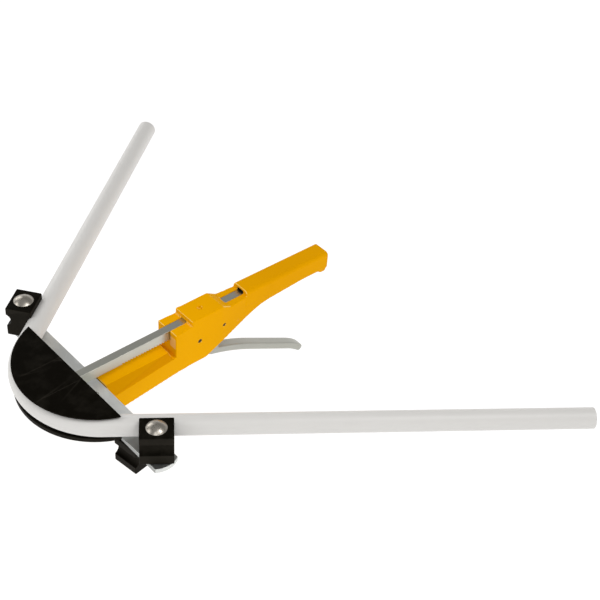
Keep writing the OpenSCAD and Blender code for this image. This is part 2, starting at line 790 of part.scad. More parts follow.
module lever_return_spring() {
    color(steel) spring_sleeve(spring_pin_at, spring_pin_d + 2 * face_gap, -hollow_half / 2, hollow_half / 2);
}

module spring_pin() {
    reach = cheek_half(spring_pin_at[0]) - pin_inset;
    color(steel) cross_bar(spring_pin_at, spring_pin_d, -reach, reach);
}

// Side view of a pawl that lies forward and up from its eye to a sharp tip
module pawl_side(at, reach, rise, eye_r) {
    tip = at + [-reach, rise];
    translate(at) circle(eye_r);
    polygon([at + [eye_r * 0.5, eye_r * 0.8], tip + [3, -1.9], tip, tip + [-0.6, -1.6],
        at + [-eye_r * 0.6, -eye_r * 0.7]]);
}

// Pawl on the lever that pushes the rod forward
module drive_pawl() {
    color(steel) translate([0, -spring_wire, 0]) difference() {
        across(drive_pawl_w) pawl_side(drive_pin_at, drive_reach, drive_rise, drive_eye_r);
        cross_bar(drive_pin_at, drive_pin_d + 2 * pin_run, -drive_pawl_w, drive_pawl_w);
    }
}

module drive_pawl_pin() {
    reach = lever_hub_w / 2;
    color(steel) cross_bar(drive_pin_at, drive_pin_d, -reach, reach);
}

module drive_pawl_spring() {
    y0 = drive_pawl_w / 2 - spring_wire + face_gap;
    color(steel) spring_sleeve(drive_pin_at, drive_pin_d + face_gap, y0, fork_half - face_gap);
}

// Pawl on the body that keeps the rod from running back
module holding_pawl() {
    color(steel) difference() {
        across(hold_pawl_w) pawl_side(hold_pin_at, hold_reach, hold_rise, hold_eye_r);
        cross_bar(hold_pin_at, hold_pin_d + 2 * pin_run, -hold_pawl_w, hold_pawl_w);
    }
}

module holding_pawl_pin() {
    reach = cheek_half(hold_pin_at[0]) - pin_inset;
    color(steel) cross_bar(hold_pin_at, hold_pin_d, -reach, reach);
}

module holding_pawl_spring() {
    color(steel) spring_sleeve(hold_pin_at, hold_pin_d + face_gap, hold_pawl_w / 2 + face_gap,
        hollow_half - face_gap);
}

// Solid of the tube's path: the bend and its two legs, run past their ends by a little
module tube_path(r, past) {
    translate([tube_bend_x, 0, tube_h]) {
        difference() {
            rotate_extrude($fn = 180) translate([tube_bend_r, 0]) circle(r);
            for (side = [-1, 1]) rotate(side * leg_angle) translate([0, -2 * tube_bend_r, -2 * r])
                cube([2 * tube_bend_r, 4 * tube_bend_r, 4 * r]);
        }
        tube_leg(1, r, leg_left + past);
        tube_leg(-1, r, leg_right + past);
    }
}

module tube_leg(side, r, length) {
    rotate(side * leg_angle) translate([0, side * tube_bend_r, 0]) rotate([0, 90, 0])
        cylinder(r = r, h = length);
}

// The tube, bent round the former
module bent_tube() {
    color(white) difference() {
        tube_path(tube_r, 0);
        tube_path(tube_r - tube_wall, 1);
    }
}

body_casting();
cross_beam();
beam_screws();
slide_right();
slide_left();
slide_bolts();
slide_washers();
slide_nuts();
lower_slide_right();
lower_slide_left();
lower_slide_bolts();
lower_slide_washers();
lower_slide_nuts();
push_rod();
former();
former_pin();
rod_stop_pin();
guide_screw();
lever();
lever_pin();
lever_return_spring();
spring_pin();
drive_pawl();
drive_pawl_pin();
drive_pawl_spring();
holding_pawl();
holding_pawl_pin();
holding_pawl_spring();
bent_tube();
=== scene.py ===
"""Looks of the tube bender: rounded castings, turned and milled pieces, finishes and the studio.

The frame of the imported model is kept: X along the tool towards the grip, Y towards the shorter leg
of the tube, Z up. Pieces are drawn in millimetres and brought to metres when they are placed.
"""

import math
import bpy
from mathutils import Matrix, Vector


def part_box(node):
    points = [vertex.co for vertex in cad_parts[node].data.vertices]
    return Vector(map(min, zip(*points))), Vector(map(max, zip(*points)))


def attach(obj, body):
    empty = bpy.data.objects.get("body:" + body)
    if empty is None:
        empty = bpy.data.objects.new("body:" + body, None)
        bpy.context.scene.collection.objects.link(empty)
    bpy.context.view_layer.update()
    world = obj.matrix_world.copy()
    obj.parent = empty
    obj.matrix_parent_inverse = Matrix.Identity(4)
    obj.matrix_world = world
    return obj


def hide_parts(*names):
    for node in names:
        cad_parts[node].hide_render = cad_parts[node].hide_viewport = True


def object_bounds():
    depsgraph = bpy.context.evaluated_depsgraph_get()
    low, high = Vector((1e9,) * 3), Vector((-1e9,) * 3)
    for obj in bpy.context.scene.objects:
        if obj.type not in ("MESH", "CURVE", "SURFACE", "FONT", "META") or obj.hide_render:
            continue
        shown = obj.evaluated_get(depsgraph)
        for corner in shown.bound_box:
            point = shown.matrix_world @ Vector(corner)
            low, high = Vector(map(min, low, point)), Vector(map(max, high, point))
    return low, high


bl_info = {
    "name": "Tube bender",
    "version": (1, 0, 0),
    "blender": (4, 5, 0),
    "location": "3D View > Sidebar > Bender",
    "description": "Builds the visible pieces, the finishes and the studio of a hand tube bender",
    "category": "Object",
}

from types import SimpleNamespace

import bmesh
import bpy
from bpy.props import FloatProperty, FloatVectorProperty, PointerProperty
from mathutils import Matrix, Vector

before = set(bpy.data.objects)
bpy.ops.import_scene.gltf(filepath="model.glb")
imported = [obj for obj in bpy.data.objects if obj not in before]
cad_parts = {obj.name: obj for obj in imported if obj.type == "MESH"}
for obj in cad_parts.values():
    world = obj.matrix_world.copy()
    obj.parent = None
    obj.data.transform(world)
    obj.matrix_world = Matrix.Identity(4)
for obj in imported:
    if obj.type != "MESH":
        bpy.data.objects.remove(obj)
CAD_BOX = [list(corner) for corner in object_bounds()]
MM = 0.001
# In millimetres: points closer than WELD are one point, cutters reach OVER past what they cut, and a hole is
# SNUG wider than its bolt all round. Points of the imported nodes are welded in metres, within CAD_WELD
WELD = 0.002
OVER = 5.0
SNUG = 0.02
CAD_WELD = 1e-6


def node_box(node):
    """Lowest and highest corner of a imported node, in millimetres."""
    low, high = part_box(node)
    return low / MM, high / MM


def middle_of(node):
    """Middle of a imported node's box, in millimetres."""
    low, high = node_box(node)
    return (low + high) / 2


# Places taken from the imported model
TUBE_Z = middle_of("bent_tube").z
FORMER_LOW, FORMER_HIGH = node_box("former")
BEAM_LOW, BEAM_HIGH = node_box("cross_beam")
BEAM_X = middle_of("cross_beam").x
ROD_LOW, ROD_HIGH = node_box("push_rod")
BODY_TOP = node_box("body_casting")[1].z
SLIDE_LOW, SLIDE_HIGH = node_box("slide_left")
SLIDE_Y = middle_of("slide_left").y
LOW_SLIDE_LOW, LOW_SLIDE_HIGH = node_box("lower_slide_left")
LOW_SLIDE_Y = middle_of("lower_slide_left").y
LEVER_PIN = middle_of("lever_pin")
DRIVE_PIN = middle_of("drive_pawl_pin")
# Slope of the tube's legs, and how far the beam's screws lie from the middle, in millimetres
LEG_COS, LEG_SIN = 0.8, 0.6
SCREW_Y = 15.0
# Boxes round places on the casting, in metres: the grip's bore, painted dark as shade, the arm, painted
# lighter on its ridge's top and in shade on its flanks, the face beside the rod, given a painted reflection,
# and the foot of the bridge and the upper edges, given painted highlights
BORE = (0.2206, -0.0075, 0.0475), (0.3000, 0.0075, 0.0688)
ARM = (-0.0340, -0.0300, 0.0260), (0.0990, 0.0300, 0.0450)
BLOCK_FACE = (0.1005, -0.0175, 0.0405), (0.1030, -0.0062, 0.0565)
BRIDGE_FOOT = (0.1262, -0.0185, 0.0625), (0.1294, 0.0185, 0.0660)
UPPER_EDGES = (-0.0400, -0.0400, 0.0300), (0.2300, 0.0400, 0.0900)
# Lengths over which painted light and shade change, in metres: the casting's shade towards the grip, along
# the tool, and the beam's light and shade, across it
GRIP_SHADE_SPAN, BEAM_SPAN = 0.4, 0.3003
# Lines scored along the former's top, in millimetres: place across the tool, start and end
SCORES = (-19.0, -97.0, -38.5), (27.6, -87.0, -38.0)


# Sizes and colours that can be changed

def length(name, description, millimetres):
    """A length property with its default given in millimetres."""
    return FloatProperty(name=name, description=description, default=millimetres * MM, unit="LENGTH",
                         precision=5)


def power(name, description, watts):
    """A property for the power of a light."""
    return FloatProperty(name=name, description=description, default=watts, unit="POWER")


def colour(name, description, red, green, blue):
    """A linear colour property."""
    return FloatVectorProperty(name=name, description=description, default=(red, green, blue),
                               subtype="COLOR", min=0.0, max=1.0)


class BenderSizes(bpy.types.PropertyGroup):
    casting_grid: length("Casting grid", "Grid on which the casting's edges are rounded", 0.7)
    tube_d: length("Tube", "Outside diameter of the tube", 26)
    tube_wall: length("Tube wall", "Wall of the tube", 3)
    tube_rim: length("Tube rim", "Chamfer at the cut ends of the tube", 0.5)
    bend_r: length("Bend", "Radius of the bend to the middle of the tube", 104)
    bend_x: length("Bend centre", "How far the centre of the bend lies behind that of the former", 10)
    leg_left: length("Left leg", "Straight leg on the left", 513)
    leg_right: length("Right leg", "Straight leg on the right", 582)
    groove_r: length("Groove", "Radius of the grooves that hold the tube", 13.3)
    groove_flare: length("Groove flare", "How much the former's groove opens on each side towards its rim", 2)
    seat_r: length("Former seat", "Radius of the former's groove to the middle of the tube", 94)
    former_r: length("Former", "Radius of the former's flanges", 104)
    former_corner: length("Former corner", "Rounding of the former's two corners", 2)
    former_edge: length("Former edge", "Rounding of the former's edges", 0.7)
    score_w: length("Score width", "Width of the lines scored in the former", 0.7)
    score_deep: length("Score depth", "Depth of the lines scored in the former", 0.35)
    slide_len: length("Slide length", "Length of a slide along the tube", 40)
    slide_w: length("Slide width", "Width of a slide across the tube", 33.5)
    slide_seat: length("Slide seat", "Distance of the tube's middle from the slide bolt", 23.55)
    spare_r: length("Spare groove", "Radius of the groove on a slide's outer face", 10)
    spare_out: length("Spare groove offset", "How far the groove's middle lies outside the face", 4)
    block_corner: length("Slide corner", "Rounding of the slides' long edges", 1.6)
    block_edge: length("Slide edge", "Rounding of the slides' end edges", 1.1)
    low_len: length("Lower slide length", "Length of a lower slide", 35.5)
    low_w: length("Lower slide width", "Width of a lower slide", 34.5)
    beam_end_r: length("Beam end", "Radius of the beam's round ends", 29)
    beam_corner: length("Beam corner", "Rounding of the beam's corners", 1.5)
    beam_edge: length("Beam edge", "Rounding of the beam's edges", 0.8)
    rod_edge: length("Rod edge", "Rounding of the rod's upper edges", 0.4)
    slide_bolt_d: length("Slide bolt", "Diameter of the slide bolts", 10)
    slide_head_d: length("Slide bolt head", "Diameter of the domed heads", 25)
    slide_head_h: length("Slide bolt dome", "Height of the domed heads", 5)
    low_bolt_d: length("Lower bolt", "Diameter of the lower slides' bolts", 8)
    low_head_d: length("Lower bolt head", "Diameter of the countersunk heads", 15)
    low_head_h: length("Lower bolt cone", "Height of the countersunk heads", 4)
    beam_screw_d: length("Beam screw", "Diameter of the screws under the beam", 8)
    handle_w: length("Handle width", "Width of the lever's handle", 16)
    handle_t: length("Handle thickness", "Thickness of the lever's handle", 10.2)
    hub_r: length("Lever hub", "Radius of the lever's hub", 9)
    hub_w: length("Lever arm", "Width of the lever's arm", 16)
    spring_wire: length("Spring wire", "Wire of the springs", 1.2)


class BenderFinish(bpy.types.PropertyGroup):
    yellow: colour("Yellow", "Paint of the casting", 0.90, 0.42, 0.0)
    # Amber also serves as painted shade, laid on more towards the grip where less light falls
    amber: colour("Amber", "Paint where it lies thicker", 0.78, 0.35, 0.0)
    # Painted light: the top of the arm's ridge made lighter than the shade under the rod leaves it
    crown: colour("Crown", "Paint on top of the arm's ridge", 1.0, 0.47, 0.0)
    # Painted highlights: the colour of the casting's upper edges and of the line at the bridge's foot
    rubbed: colour("Rubbed", "Paint on rubbed edges", 1.0, 0.66, 0.16)
    # Painted shade: inner corners and the sloping flanks of the arm's ridge
    deep: colour("Deep", "Paint in corners and on the flanks of the ridge", 0.62, 0.20, 0.0)
    # Painted reflection: the pale look of the front block's face beside the rod
    bare: colour("Bare", "Glossy face of the front block beside the rod", 0.95, 0.56, 0.19)
    # Painted shade: the grip's bore painted nearly black, as the shade inside it
    bore: colour("Bore", "Bare dark bore of the grip", 0.006, 0.004, 0.002)
    black: colour("Black", "Slides and former", 0.0024, 0.0017, 0.0005)
    # Scuffed black also lights the faces that are not level: painted light
    scuffed: colour("Scuffed black", "Rubbed places on the slides and the former", 0.018, 0.0155, 0.0115)
    tube: colour("Tube", "White plastic of the tube", 0.70, 0.685, 0.66)
    zinc: colour("Zinc", "Galvanised beam, nuts and washers", 0.66, 0.67, 0.65)
    rod: colour("Rod", "Drawn steel of the rod", 0.56, 0.56, 0.50)
    bright: colour("Bright", "Domed bolts", 0.40, 0.37, 0.325)
    grey: colour("Grey", "Satin lever", 0.43, 0.43, 0.385)
    dark: colour("Dark", "Oiled pins, pawls and springs", 0.050, 0.034, 0.018)


class BenderStudio(bpy.types.PropertyGroup):
    floor_size: length("Floor", "Width of the floor", 12000)
    floor_glow: FloatProperty(name="Floor glow", description="Light of the lit floor", default=0.86)
    floor_white: FloatProperty(name="Floor white", description="Grey value of the floor", default=0.3)
    key_power: power("Key", "Soft light overhead", 9.5)
    side_power: power("Side", "Soft light from behind", 6)
    front_power: power("Front", "Soft light in front", 6)
    fill_power: power("Fill", "Soft light close by", 1.7)
    lens: FloatProperty(name="Lens", description="Focal length on a 36 mm frame", default=74.21)
    camera_at: FloatVectorProperty(name="Camera", description="Place of the camera", subtype="TRANSLATION",
                                   unit="LENGTH", default=(-0.59008, -0.92740, 1.10394))


def millimetres(group):
    """The lengths of a property group as plain numbers in millimetres."""
    return SimpleNamespace(**{key: getattr(group, key) / MM for key in type(group).__annotations__})


# Drawing: outlines, solids and cuts

def rounded(points, radii, steps=5):
    """Closed outline of a polygon with each corner rounded to its radius, or to just under half a side."""
    outline = []
    for i, point in enumerate(points):
        here = Vector(point)
        radius = radii[i] if isinstance(radii, (list, tuple)) else radii
        if radius <= 0:
            outline.append(here)
            continue
        back = Vector(points[i - 1]) - here
        ahead = Vector(points[(i + 1) % len(points)]) - here
        half = back.angle(ahead) / 2
        reach = min(radius / math.tan(half), 0.49 * back.length, 0.49 * ahead.length)
        bow = reach * math.tan(half)
        back.normalize()
        ahead.normalize()
        centre = here + (back + ahead).normalized() * (bow / math.sin(half))
        first = here + back * reach - centre
        last = here + ahead * reach - centre
        start = math.atan2(first.y, first.x)
        turn = math.remainder(math.atan2(last.y, last.x) - start, math.tau)
        outline += arc(centre, bow, math.degrees(start), math.degrees(start + turn), steps)
    return outline


def arc(centre, radius, start, end, steps):
    """Points on an arc, with its angles in degrees."""
    angles = [math.radians(start + (end - start) * k / steps) for k in range(steps + 1)]
    return [Vector((centre[0] + radius * math.cos(a), centre[1] + radius * math.sin(a))) for a in angles]


def hexagon(across_corners, centre=(0, 0)):
    """Outline of a hexagon with a corner on the first axis."""
    return arc(centre, across_corners / 2, 0, 300, 5)


def rectangle(x, y, end_x, end_y):
    """Outline of a rectangle between two opposite corners."""
    return [(x, y), (end_x, y), (end_x, end_y), (x, end_y)]


def bridge(bm, low, high):
    """Adds the faces between two rings of points."""
    for k in range(len(low)):
        bm.faces.new((low[k - 1], low[k], high[k], high[k - 1]))


def round_edges(bm, edges, width):
    """Rounds some edges of a solid."""
    bmesh.ops.bevel(bm, geom=edges, offset=width, segments=3, profile=0.5, affect="EDGES",
                    clamp_overlap=False)


def prism(outline, low, high, axis="Y", edge=0.0):
    """Solid between two levels of an axis over a closed outline, with its end rims rounded."""
    def place(point, level):
        if axis == "Y":
            return (point[0], level, point[1])
        return (point[0], point[1], level)
    bm = bmesh.new()
    rims = [[bm.verts.new(place(p, level)) for p in outline] for level in (low, high)]
    caps = [bm.faces.new(rim) for rim in rims]
    bridge(bm, *rims)
    bmesh.ops.recalc_face_normals(bm, faces=bm.faces)
    if edge > 0:
        round_edges(bm, [e for cap in caps for e in cap.edges], edge)
    return bm


def lathe(profile, steps=48, at=(0, 0, 0), axis="Z", ring=False):
    """Solid turned from (radius, height) points that end on the axis or, for a ring, form a closed line."""
    bm = bmesh.new()
    rows = []
    for radius, height in profile:
        angles = [math.tau * k / steps for k in range(steps if radius > WELD else 1)]
        rows.append([bm.verts.new((radius * math.cos(a), radius * math.sin(a), height)) for a in angles])
    for low, high in zip(rows, rows[1:] + (rows[:1] if ring else [])):
        for k in range(steps):
            near = (k + 1) % steps
            corners = [low[k % len(low)], low[near % len(low)], high[near % len(high)], high[k % len(high)]]
            bm.faces.new(list(dict.fromkeys(corners)))
    bmesh.ops.recalc_face_normals(bm, faces=bm.faces)
    if axis == "Y":
        bmesh.ops.rotate(bm, matrix=Matrix.Rotation(-math.pi / 2, 3, "X"), verts=bm.verts)
    bmesh.ops.translate(bm, vec=Vector(at), verts=bm.verts)
    return bm


def peg(radius, low, high, edge=0.1, steps=40, at=(0, 0, 0), axis="Z"):
    """A plain pin between two levels of an axis, with chamfered ends."""
    profile = [(0, low), (radius - edge, low), (radius, low + edge), (radius, high - edge),
               (radius - edge, high), (0, high)]
    return lathe(profile, steps, at, axis)


def node_pin(node, radius, edge, steps=32, axis="Y"):
    """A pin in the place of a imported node."""
    low, high = node_box(node)
    middle = middle_of(node)
    if axis == "Y":
        return peg(radius, low.y, high.y, edge, steps, (middle.x, 0, middle.z), axis)
    return peg(radius, low.z, high.z, edge, steps, (middle.x, middle.y, 0), axis)


def sweep(stations, section):
    """Solid that carries a closed section along stations of (point, across, up)."""
    bm = bmesh.new()
    rows = [[bm.verts.new(point + across * p[0] + up * p[1]) for p in section]
            for point, across, up in stations]
    for low, high in zip(rows, rows[1:]):
        bridge(bm, low, high)
    bm.faces.new(rows[0])
    bm.faces.new(rows[-1])
    bmesh.ops.recalc_face_normals(bm, faces=bm.faces)
    return bm


def turned(bm, angle, at=(0, 0, 0), flip=False):
    """Turns a solid about the vertical, moves it, and mirrors it to the other side of the tool."""
    bmesh.ops.rotate(bm, matrix=Matrix.Rotation(angle, 3, "Z"), verts=bm.verts)
    bmesh.ops.translate(bm, vec=Vector(at), verts=bm.verts)
    if flip:
        bmesh.ops.scale(bm, vec=(1, -1, 1), verts=bm.verts)
        bmesh.ops.reverse_faces(bm, faces=bm.faces)
    return bm


def mesh_of(name, bm):
    """A mesh of a drawn solid, which is used up."""
    mesh = bpy.data.meshes.new(name)
    bm.to_mesh(mesh)
    bm.free()
    return mesh


def linked(name, data):
    """A new object in the scene."""
    obj = bpy.data.objects.new(name, data)
    bpy.context.scene.collection.objects.link(obj)
    return obj


def together(*solids):
    """One solid that holds several separate ones."""
    whole = bmesh.new()
    for solid in solids:
        mesh = mesh_of("part", solid)
        whole.from_mesh(mesh)
        bpy.data.meshes.remove(mesh)
    return whole


def holder(bm):
    """A passing object round a solid, for modifiers."""
    return linked("passing", mesh_of("passing", bm))


def modify(obj, kind, **settings):
    """Adds a modifier with its settings to an object."""
    step = obj.modifiers.new(kind.lower(), kind)
    for key, value in settings.items():
        setattr(step, key, value)


def settled(obj, *tools):
    """The solid that an object's modifiers give; the passing objects are removed."""
    depsgraph = bpy.context.evaluated_depsgraph_get()
    mesh = bpy.data.meshes.new_from_object(obj.evaluated_get(depsgraph))
    bm = bmesh.new()
    bm.from_mesh(mesh)
    bpy.data.meshes.remove(mesh)
    bmesh.ops.remove_doubles(bm, verts=bm.verts, dist=WELD)
    bmesh.ops.dissolve_degenerate(bm, edges=bm.edges, dist=WELD)
    for gone in (obj, *tools):
        data = gone.data
        bpy.data.objects.remove(gone)
        bpy.data.meshes.remove(data)
    if not bm.faces:
        raise RuntimeError("a cut left nothing")
    return bm


def combined(operation, bm, *others):
    """A solid joined with others, cut by them or kept only inside them."""
    base = holder(bm)
    parts = [holder(other) for other in others]
    for part in parts:
        modify(base, "BOOLEAN", solver="EXACT", operation=operation, object=part)
    return settled(base, *parts)


def cut(bm, *tools):
    """Takes tools out of a solid."""
    return combined("DIFFERENCE", bm, *tools)


def broken(bm, width, angle):
    """A solid whose edges are broken where its faces turn by more than an angle in degrees."""
    base = holder(bm)
    modify(base, "BEVEL", width=width, segments=2, limit_method="ANGLE", angle_limit=math.radians(angle))
    return settled(base)


def softened(bm, grid, passes, faces, softer=None, softer_passes=0):
    """A solid drawn again on a fine grid with its edges rounded, more so at the points that softer picks."""
    base = holder(bm)
    modify(base, "REMESH", mode="VOXEL", voxel_size=grid)
    base = holder(settled(base))
    modify(base, "SMOOTH", factor=0.5, iterations=passes)
    if softer:
        group = base.vertex_groups.new(name="softer")
        group.add([v.index for v in base.data.vertices if softer(v.co)], 1.0, "REPLACE")
        modify(base, "SMOOTH", factor=0.5, iterations=softer_passes, vertex_group=group.name)
    modify(base, "DECIMATE", ratio=min(1.0, faces / (2 * len(base.data.polygons))))
    return settled(base)


def cad_solid(node):
    """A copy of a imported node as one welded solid, in millimetres."""
    bm = bmesh.new()
    bm.from_mesh(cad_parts[node].data)
    bmesh.ops.remove_doubles(bm, verts=bm.verts, dist=CAD_WELD)
    bmesh.ops.scale(bm, vec=(1 / MM,) * 3, verts=bm.verts)
    return bm


def place_piece(name, bm, maker, body, *nodes, sharp=35):
    """Makes a piece of a drawn solid: its finish, the body it rides on and the nodes it stands for."""
    bmesh.ops.scale(bm, vec=(MM,) * 3, verts=bm.verts)
    mesh = mesh_of(name, bm)
    mesh.shade_smooth()
    mesh.materials.append(finish_of(maker))
    obj = linked(name, mesh)
    if sharp:
        mesh.set_sharp_from_angle(angle=math.radians(sharp))
        modify(obj, "WEIGHTED_NORMAL", keep_sharp=True)
    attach(obj, body)
    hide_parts(*nodes)


# Finishes

def connect(tree, entry, value):
    """Links a shader value to a socket, or sets a plain one on it."""
    if isinstance(value, Value):
        tree.links.new(value.socket, entry)
    elif hasattr(entry.default_value, "__len__") and len(entry.default_value) == 4 and len(value) == 3:
        entry.default_value = (*value, 1.0)
    else:
        entry.default_value = value


class Value:
    """A shader socket on which arithmetic adds Math nodes."""

    def __init__(self, tree, socket):
        self.tree = tree
        self.socket = socket

    def math(self, operation, *values):
        """What a Math node makes of some values."""
        node = self.tree.nodes.new("ShaderNodeMath")
        node.operation = operation
        for entry, value in zip(node.inputs, values):
            connect(self.tree, entry, value)
        return Value(self.tree, node.outputs[0])

    def within(self, middle, half):
        """1 where the value lies no further than half from the middle, and else 0."""
        return self.math("COMPARE", self, middle, half)

    def __add__(self, other):
        return self.math("ADD", self, other)

    def __rsub__(self, other):
        return self.math("SUBTRACT", other, self)

    def __mul__(self, other):
        return self.math("MULTIPLY", self, other)

    def __truediv__(self, other):
        return self.math("DIVIDE", self, other)

    def __abs__(self):
        return self.math("ABSOLUTE", self)

    __radd__ = __add__
    __rmul__ = __mul__


class Finish:
    """The node tree of a material or of the surroundings, under construction."""

    def __init__(self, owner):
        owner.use_nodes = True
        self.owner = owner
        self.tree = owner.node_tree
        self.tree.nodes.clear()

    def node(self, kind, out=0, sockets=None, **settings):
        """Adds a node: its settings first, then the values or links of its sockets."""
        node = self.tree.nodes.new("ShaderNode" + kind)
        for key, value in settings.items():
            setattr(node, key, value)
        for key, value in (sockets or {}).items():
            connect(self.tree, node.inputs[key], value)
        return None if out is None else Value(self.tree, node.outputs[out])

    def place(self, stretch=None):
        """Place on the piece in metres, stretched along its axes where asked."""
        here = self.node("TexCoord", "Object")
        if stretch is None:
            return here
        return self.node("VectorMath", 0, {0: here, 1: stretch}, operation="MULTIPLY")

    def along(self, axis):
        """Place along one axis of the piece, in metres."""
        return self.node("SeparateXYZ", axis, {0: self.place()})

    def noise(self, scale, detail=2.0, roughness=0.5, stretch=None):
        """Soft noise from 0 to 1, with its scale in waves per metre."""
        return self.node("TexNoise", 0, {"Vector": self.place(stretch), "Scale": scale, "Detail": detail,
                                         "Roughness": roughness})

    def ramp(self, value, *stops):
        """A value read through a ramp of (position, grey) stops."""
        shade = self.node("ValToRGB", 0, {0: value})
        elements = shade.socket.node.color_ramp.elements
        while len(elements) < len(stops):
            elements.new(0.5)
        for element, (position, grey) in zip(elements, stops):
            element.position = position
            element.color = (grey, grey, grey, 1.0)
        return shade

    def blend(self, factor, first, second):
        """Two colours mixed by a value."""
        return self.node("Mix", 2, {0: factor, 6: first, 7: second}, data_type="RGBA")

    def edges(self, *stops):
        """Mask read from how far a place is an outer edge, above 0.5, or an inner corner."""
        return self.ramp(self.node("NewGeometry", "Pointiness"), *stops)

    def facing(self, axis, *stops):
        """Mask read from how far a place faces along an axis of the piece, either way."""
        part = self.node("SeparateXYZ", axis, {0: self.node("TexCoord", "Normal")})
        return self.ramp(abs(part), *stops)

    def inside(self, box):
        """Mask that is 1 inside a box between two corners, in metres."""
        x, y, z = [self.along(axis).within((low + high) / 2, (high - low) / 2)
                   for axis, (low, high) in enumerate(zip(*box))]
        return x * y * z

    def bump(self, height, depth, strength):
        """Normal of a height field with its depth in metres."""
        return self.node("Bump", 0, {"Strength": strength, "Distance": depth, "Height": height})

    def close(self, shader, output):
        """Links a shader to an output and gives back the material or the surroundings."""
        self.node(output, None, {"Surface": shader})
        return self.owner

    def done(self, **sockets):
        """Closes a material with its Principled shader; names have _ for a space."""
        values = {key.replace("_", " "): value for key, value in sockets.items()}
        return self.close(self.node("BsdfPrincipled", 0, values), "OutputMaterial")


def casting_paint(f, shades):
    """Semi-gloss enamel on a casting: thicker in places, with a faint orange peel, and with painted light and
    shade:
    highlights on upper edges, shade in corners, on the ridge's flanks, towards the grip and in the bore,
    light on the ridge's top and a reflection on the block's face.
    """
    thick = f.ramp(f.noise(16, 3.0), (0.38, 0.0), (0.68, 1.0))
    grain = f.noise(420, 3.0)
    peel = f.noise(1300)
    # Painted highlight on the upper edges that face forward and up, with a gloss coat on them
    edge = f.edges((0.504, 0.0), (0.524, 1.0)) * f.facing(2, (0.15, 0.0), (0.4, 1.0))
    edge = edge * f.facing(0, (0.2, 0.0), (0.45, 1.0), (0.9, 1.0), (0.98, 0.0)) * f.inside(UPPER_EDGES)
    # Painted shade in inner corners
    corner = f.edges((0.455, 1.0), (0.492, 0.0))
    arm = f.inside(ARM)
    # Painted light on the top of the arm's ridge, which lies in the rod's shade
    crown = arm * f.facing(2, (0.95, 0.0), (0.98, 1.0))
    # Painted shade on the sloping flanks of the arm's ridge, under the rod
    flank = arm * f.facing(2, (0.2, 0.0), (0.4, 1.0), (0.92, 1.0), (0.965, 0.0))
    # Painted shade, deepening towards the grip where less light falls
    grip_shade = f.ramp(f.along(0) / GRIP_SHADE_SPAN, (0.32, 0.0), (0.65, 0.8))
    # Painted reflection on the block's face beside the rod, with a gloss coat there
    face = f.inside(BLOCK_FACE)
    # Painted highlight along the inner corner at the foot of the bridge
    foot = f.inside(BRIDGE_FOOT) * f.edges((0.470, 1.0), (0.497, 0.0))
    shade = shades.yellow
    # Blended in turn: thicker paint with painted shade towards the grip, painted shade, a painted reflection,
    # painted light on the ridge, painted highlights and painted shade in the bore
    for share, paint in ((thick * 0.2 + grip_shade, shades.amber), (flank * 0.45 + corner * 0.5, shades.deep),
                         (face * 0.85, shades.bare), (crown, shades.crown),
                         (edge * 0.95 + foot * 0.8, shades.rubbed), (f.inside(BORE), shades.bore)):
        shade = f.blend(share, shade, paint)
    return f.done(Base_Color=shade, Roughness=0.30 + grain * 0.14, Specular_IOR_Level=0.01,
                  Coat_Weight=edge * 0.35 + face * 0.3, Coat_Roughness=0.15,
                  Normal=f.bump(0.5 * (peel + grain), 0.00012, 0.35))


def black_block(f, shades):
    """Black slides and former: satin, with a fine grain, rub marks, paler edges and scored lines, and with
    faces that are not level painted lighter as if lit.
    """
    rub = f.ramp(f.noise(45, 4.0, 0.65), (0.47, 0.0), (0.72, 1.0))
    scratch = f.ramp(f.noise(120, 2.0, 0.5, (1, 14, 1)), (0.66, 0.0), (0.72, 1.0))
    grain = f.noise(900, 3.0)
    tone_shift = rub * 0.4 + scratch * 0.2 + f.edges((0.54, 0.0), (0.62, 1.0)) * 0.6
    # Painted light: faces that are not level are made lighter, as if lit from the side
    tone_shift = tone_shift + f.facing(2, (0.3, 0.6), (0.8, 0.0))
    half_w, half_h, pale = 0.6, 1.0, 0.9
    for y, start, end in SCORES:
        low = Vector((start, y - half_w, FORMER_HIGH.z - half_h))
        high = Vector((end, y + half_w, FORMER_HIGH.z + half_h))
        tone_shift = tone_shift + f.inside((low * MM, high * MM)) * pale
    return f.done(Base_Color=f.blend(tone_shift, shades.black, shades.scuffed), Roughness=0.40 + grain * 0.16,
                  Specular_IOR_Level=0.025, Normal=f.bump(grain, 0.00008, 0.4))


def white_tube(f, shades):
    """White plastic pipe: smooth, with faint drawn ripples and handling marks."""
    marks = f.ramp(f.noise(30, 4.0, 0.6), (0.45, 0.0), (0.85, 1.0))
    fine = f.noise(600)
    return f.done(Base_Color=f.blend(marks * 0.3, shades.tube, shades.tube * 0.9),
                  Roughness=0.34 + fine * 0.12, Specular_IOR_Level=0.4,
                  Normal=f.bump(f.noise(160) * 0.6 + fine * 0.2, 0.00006, 0.3))


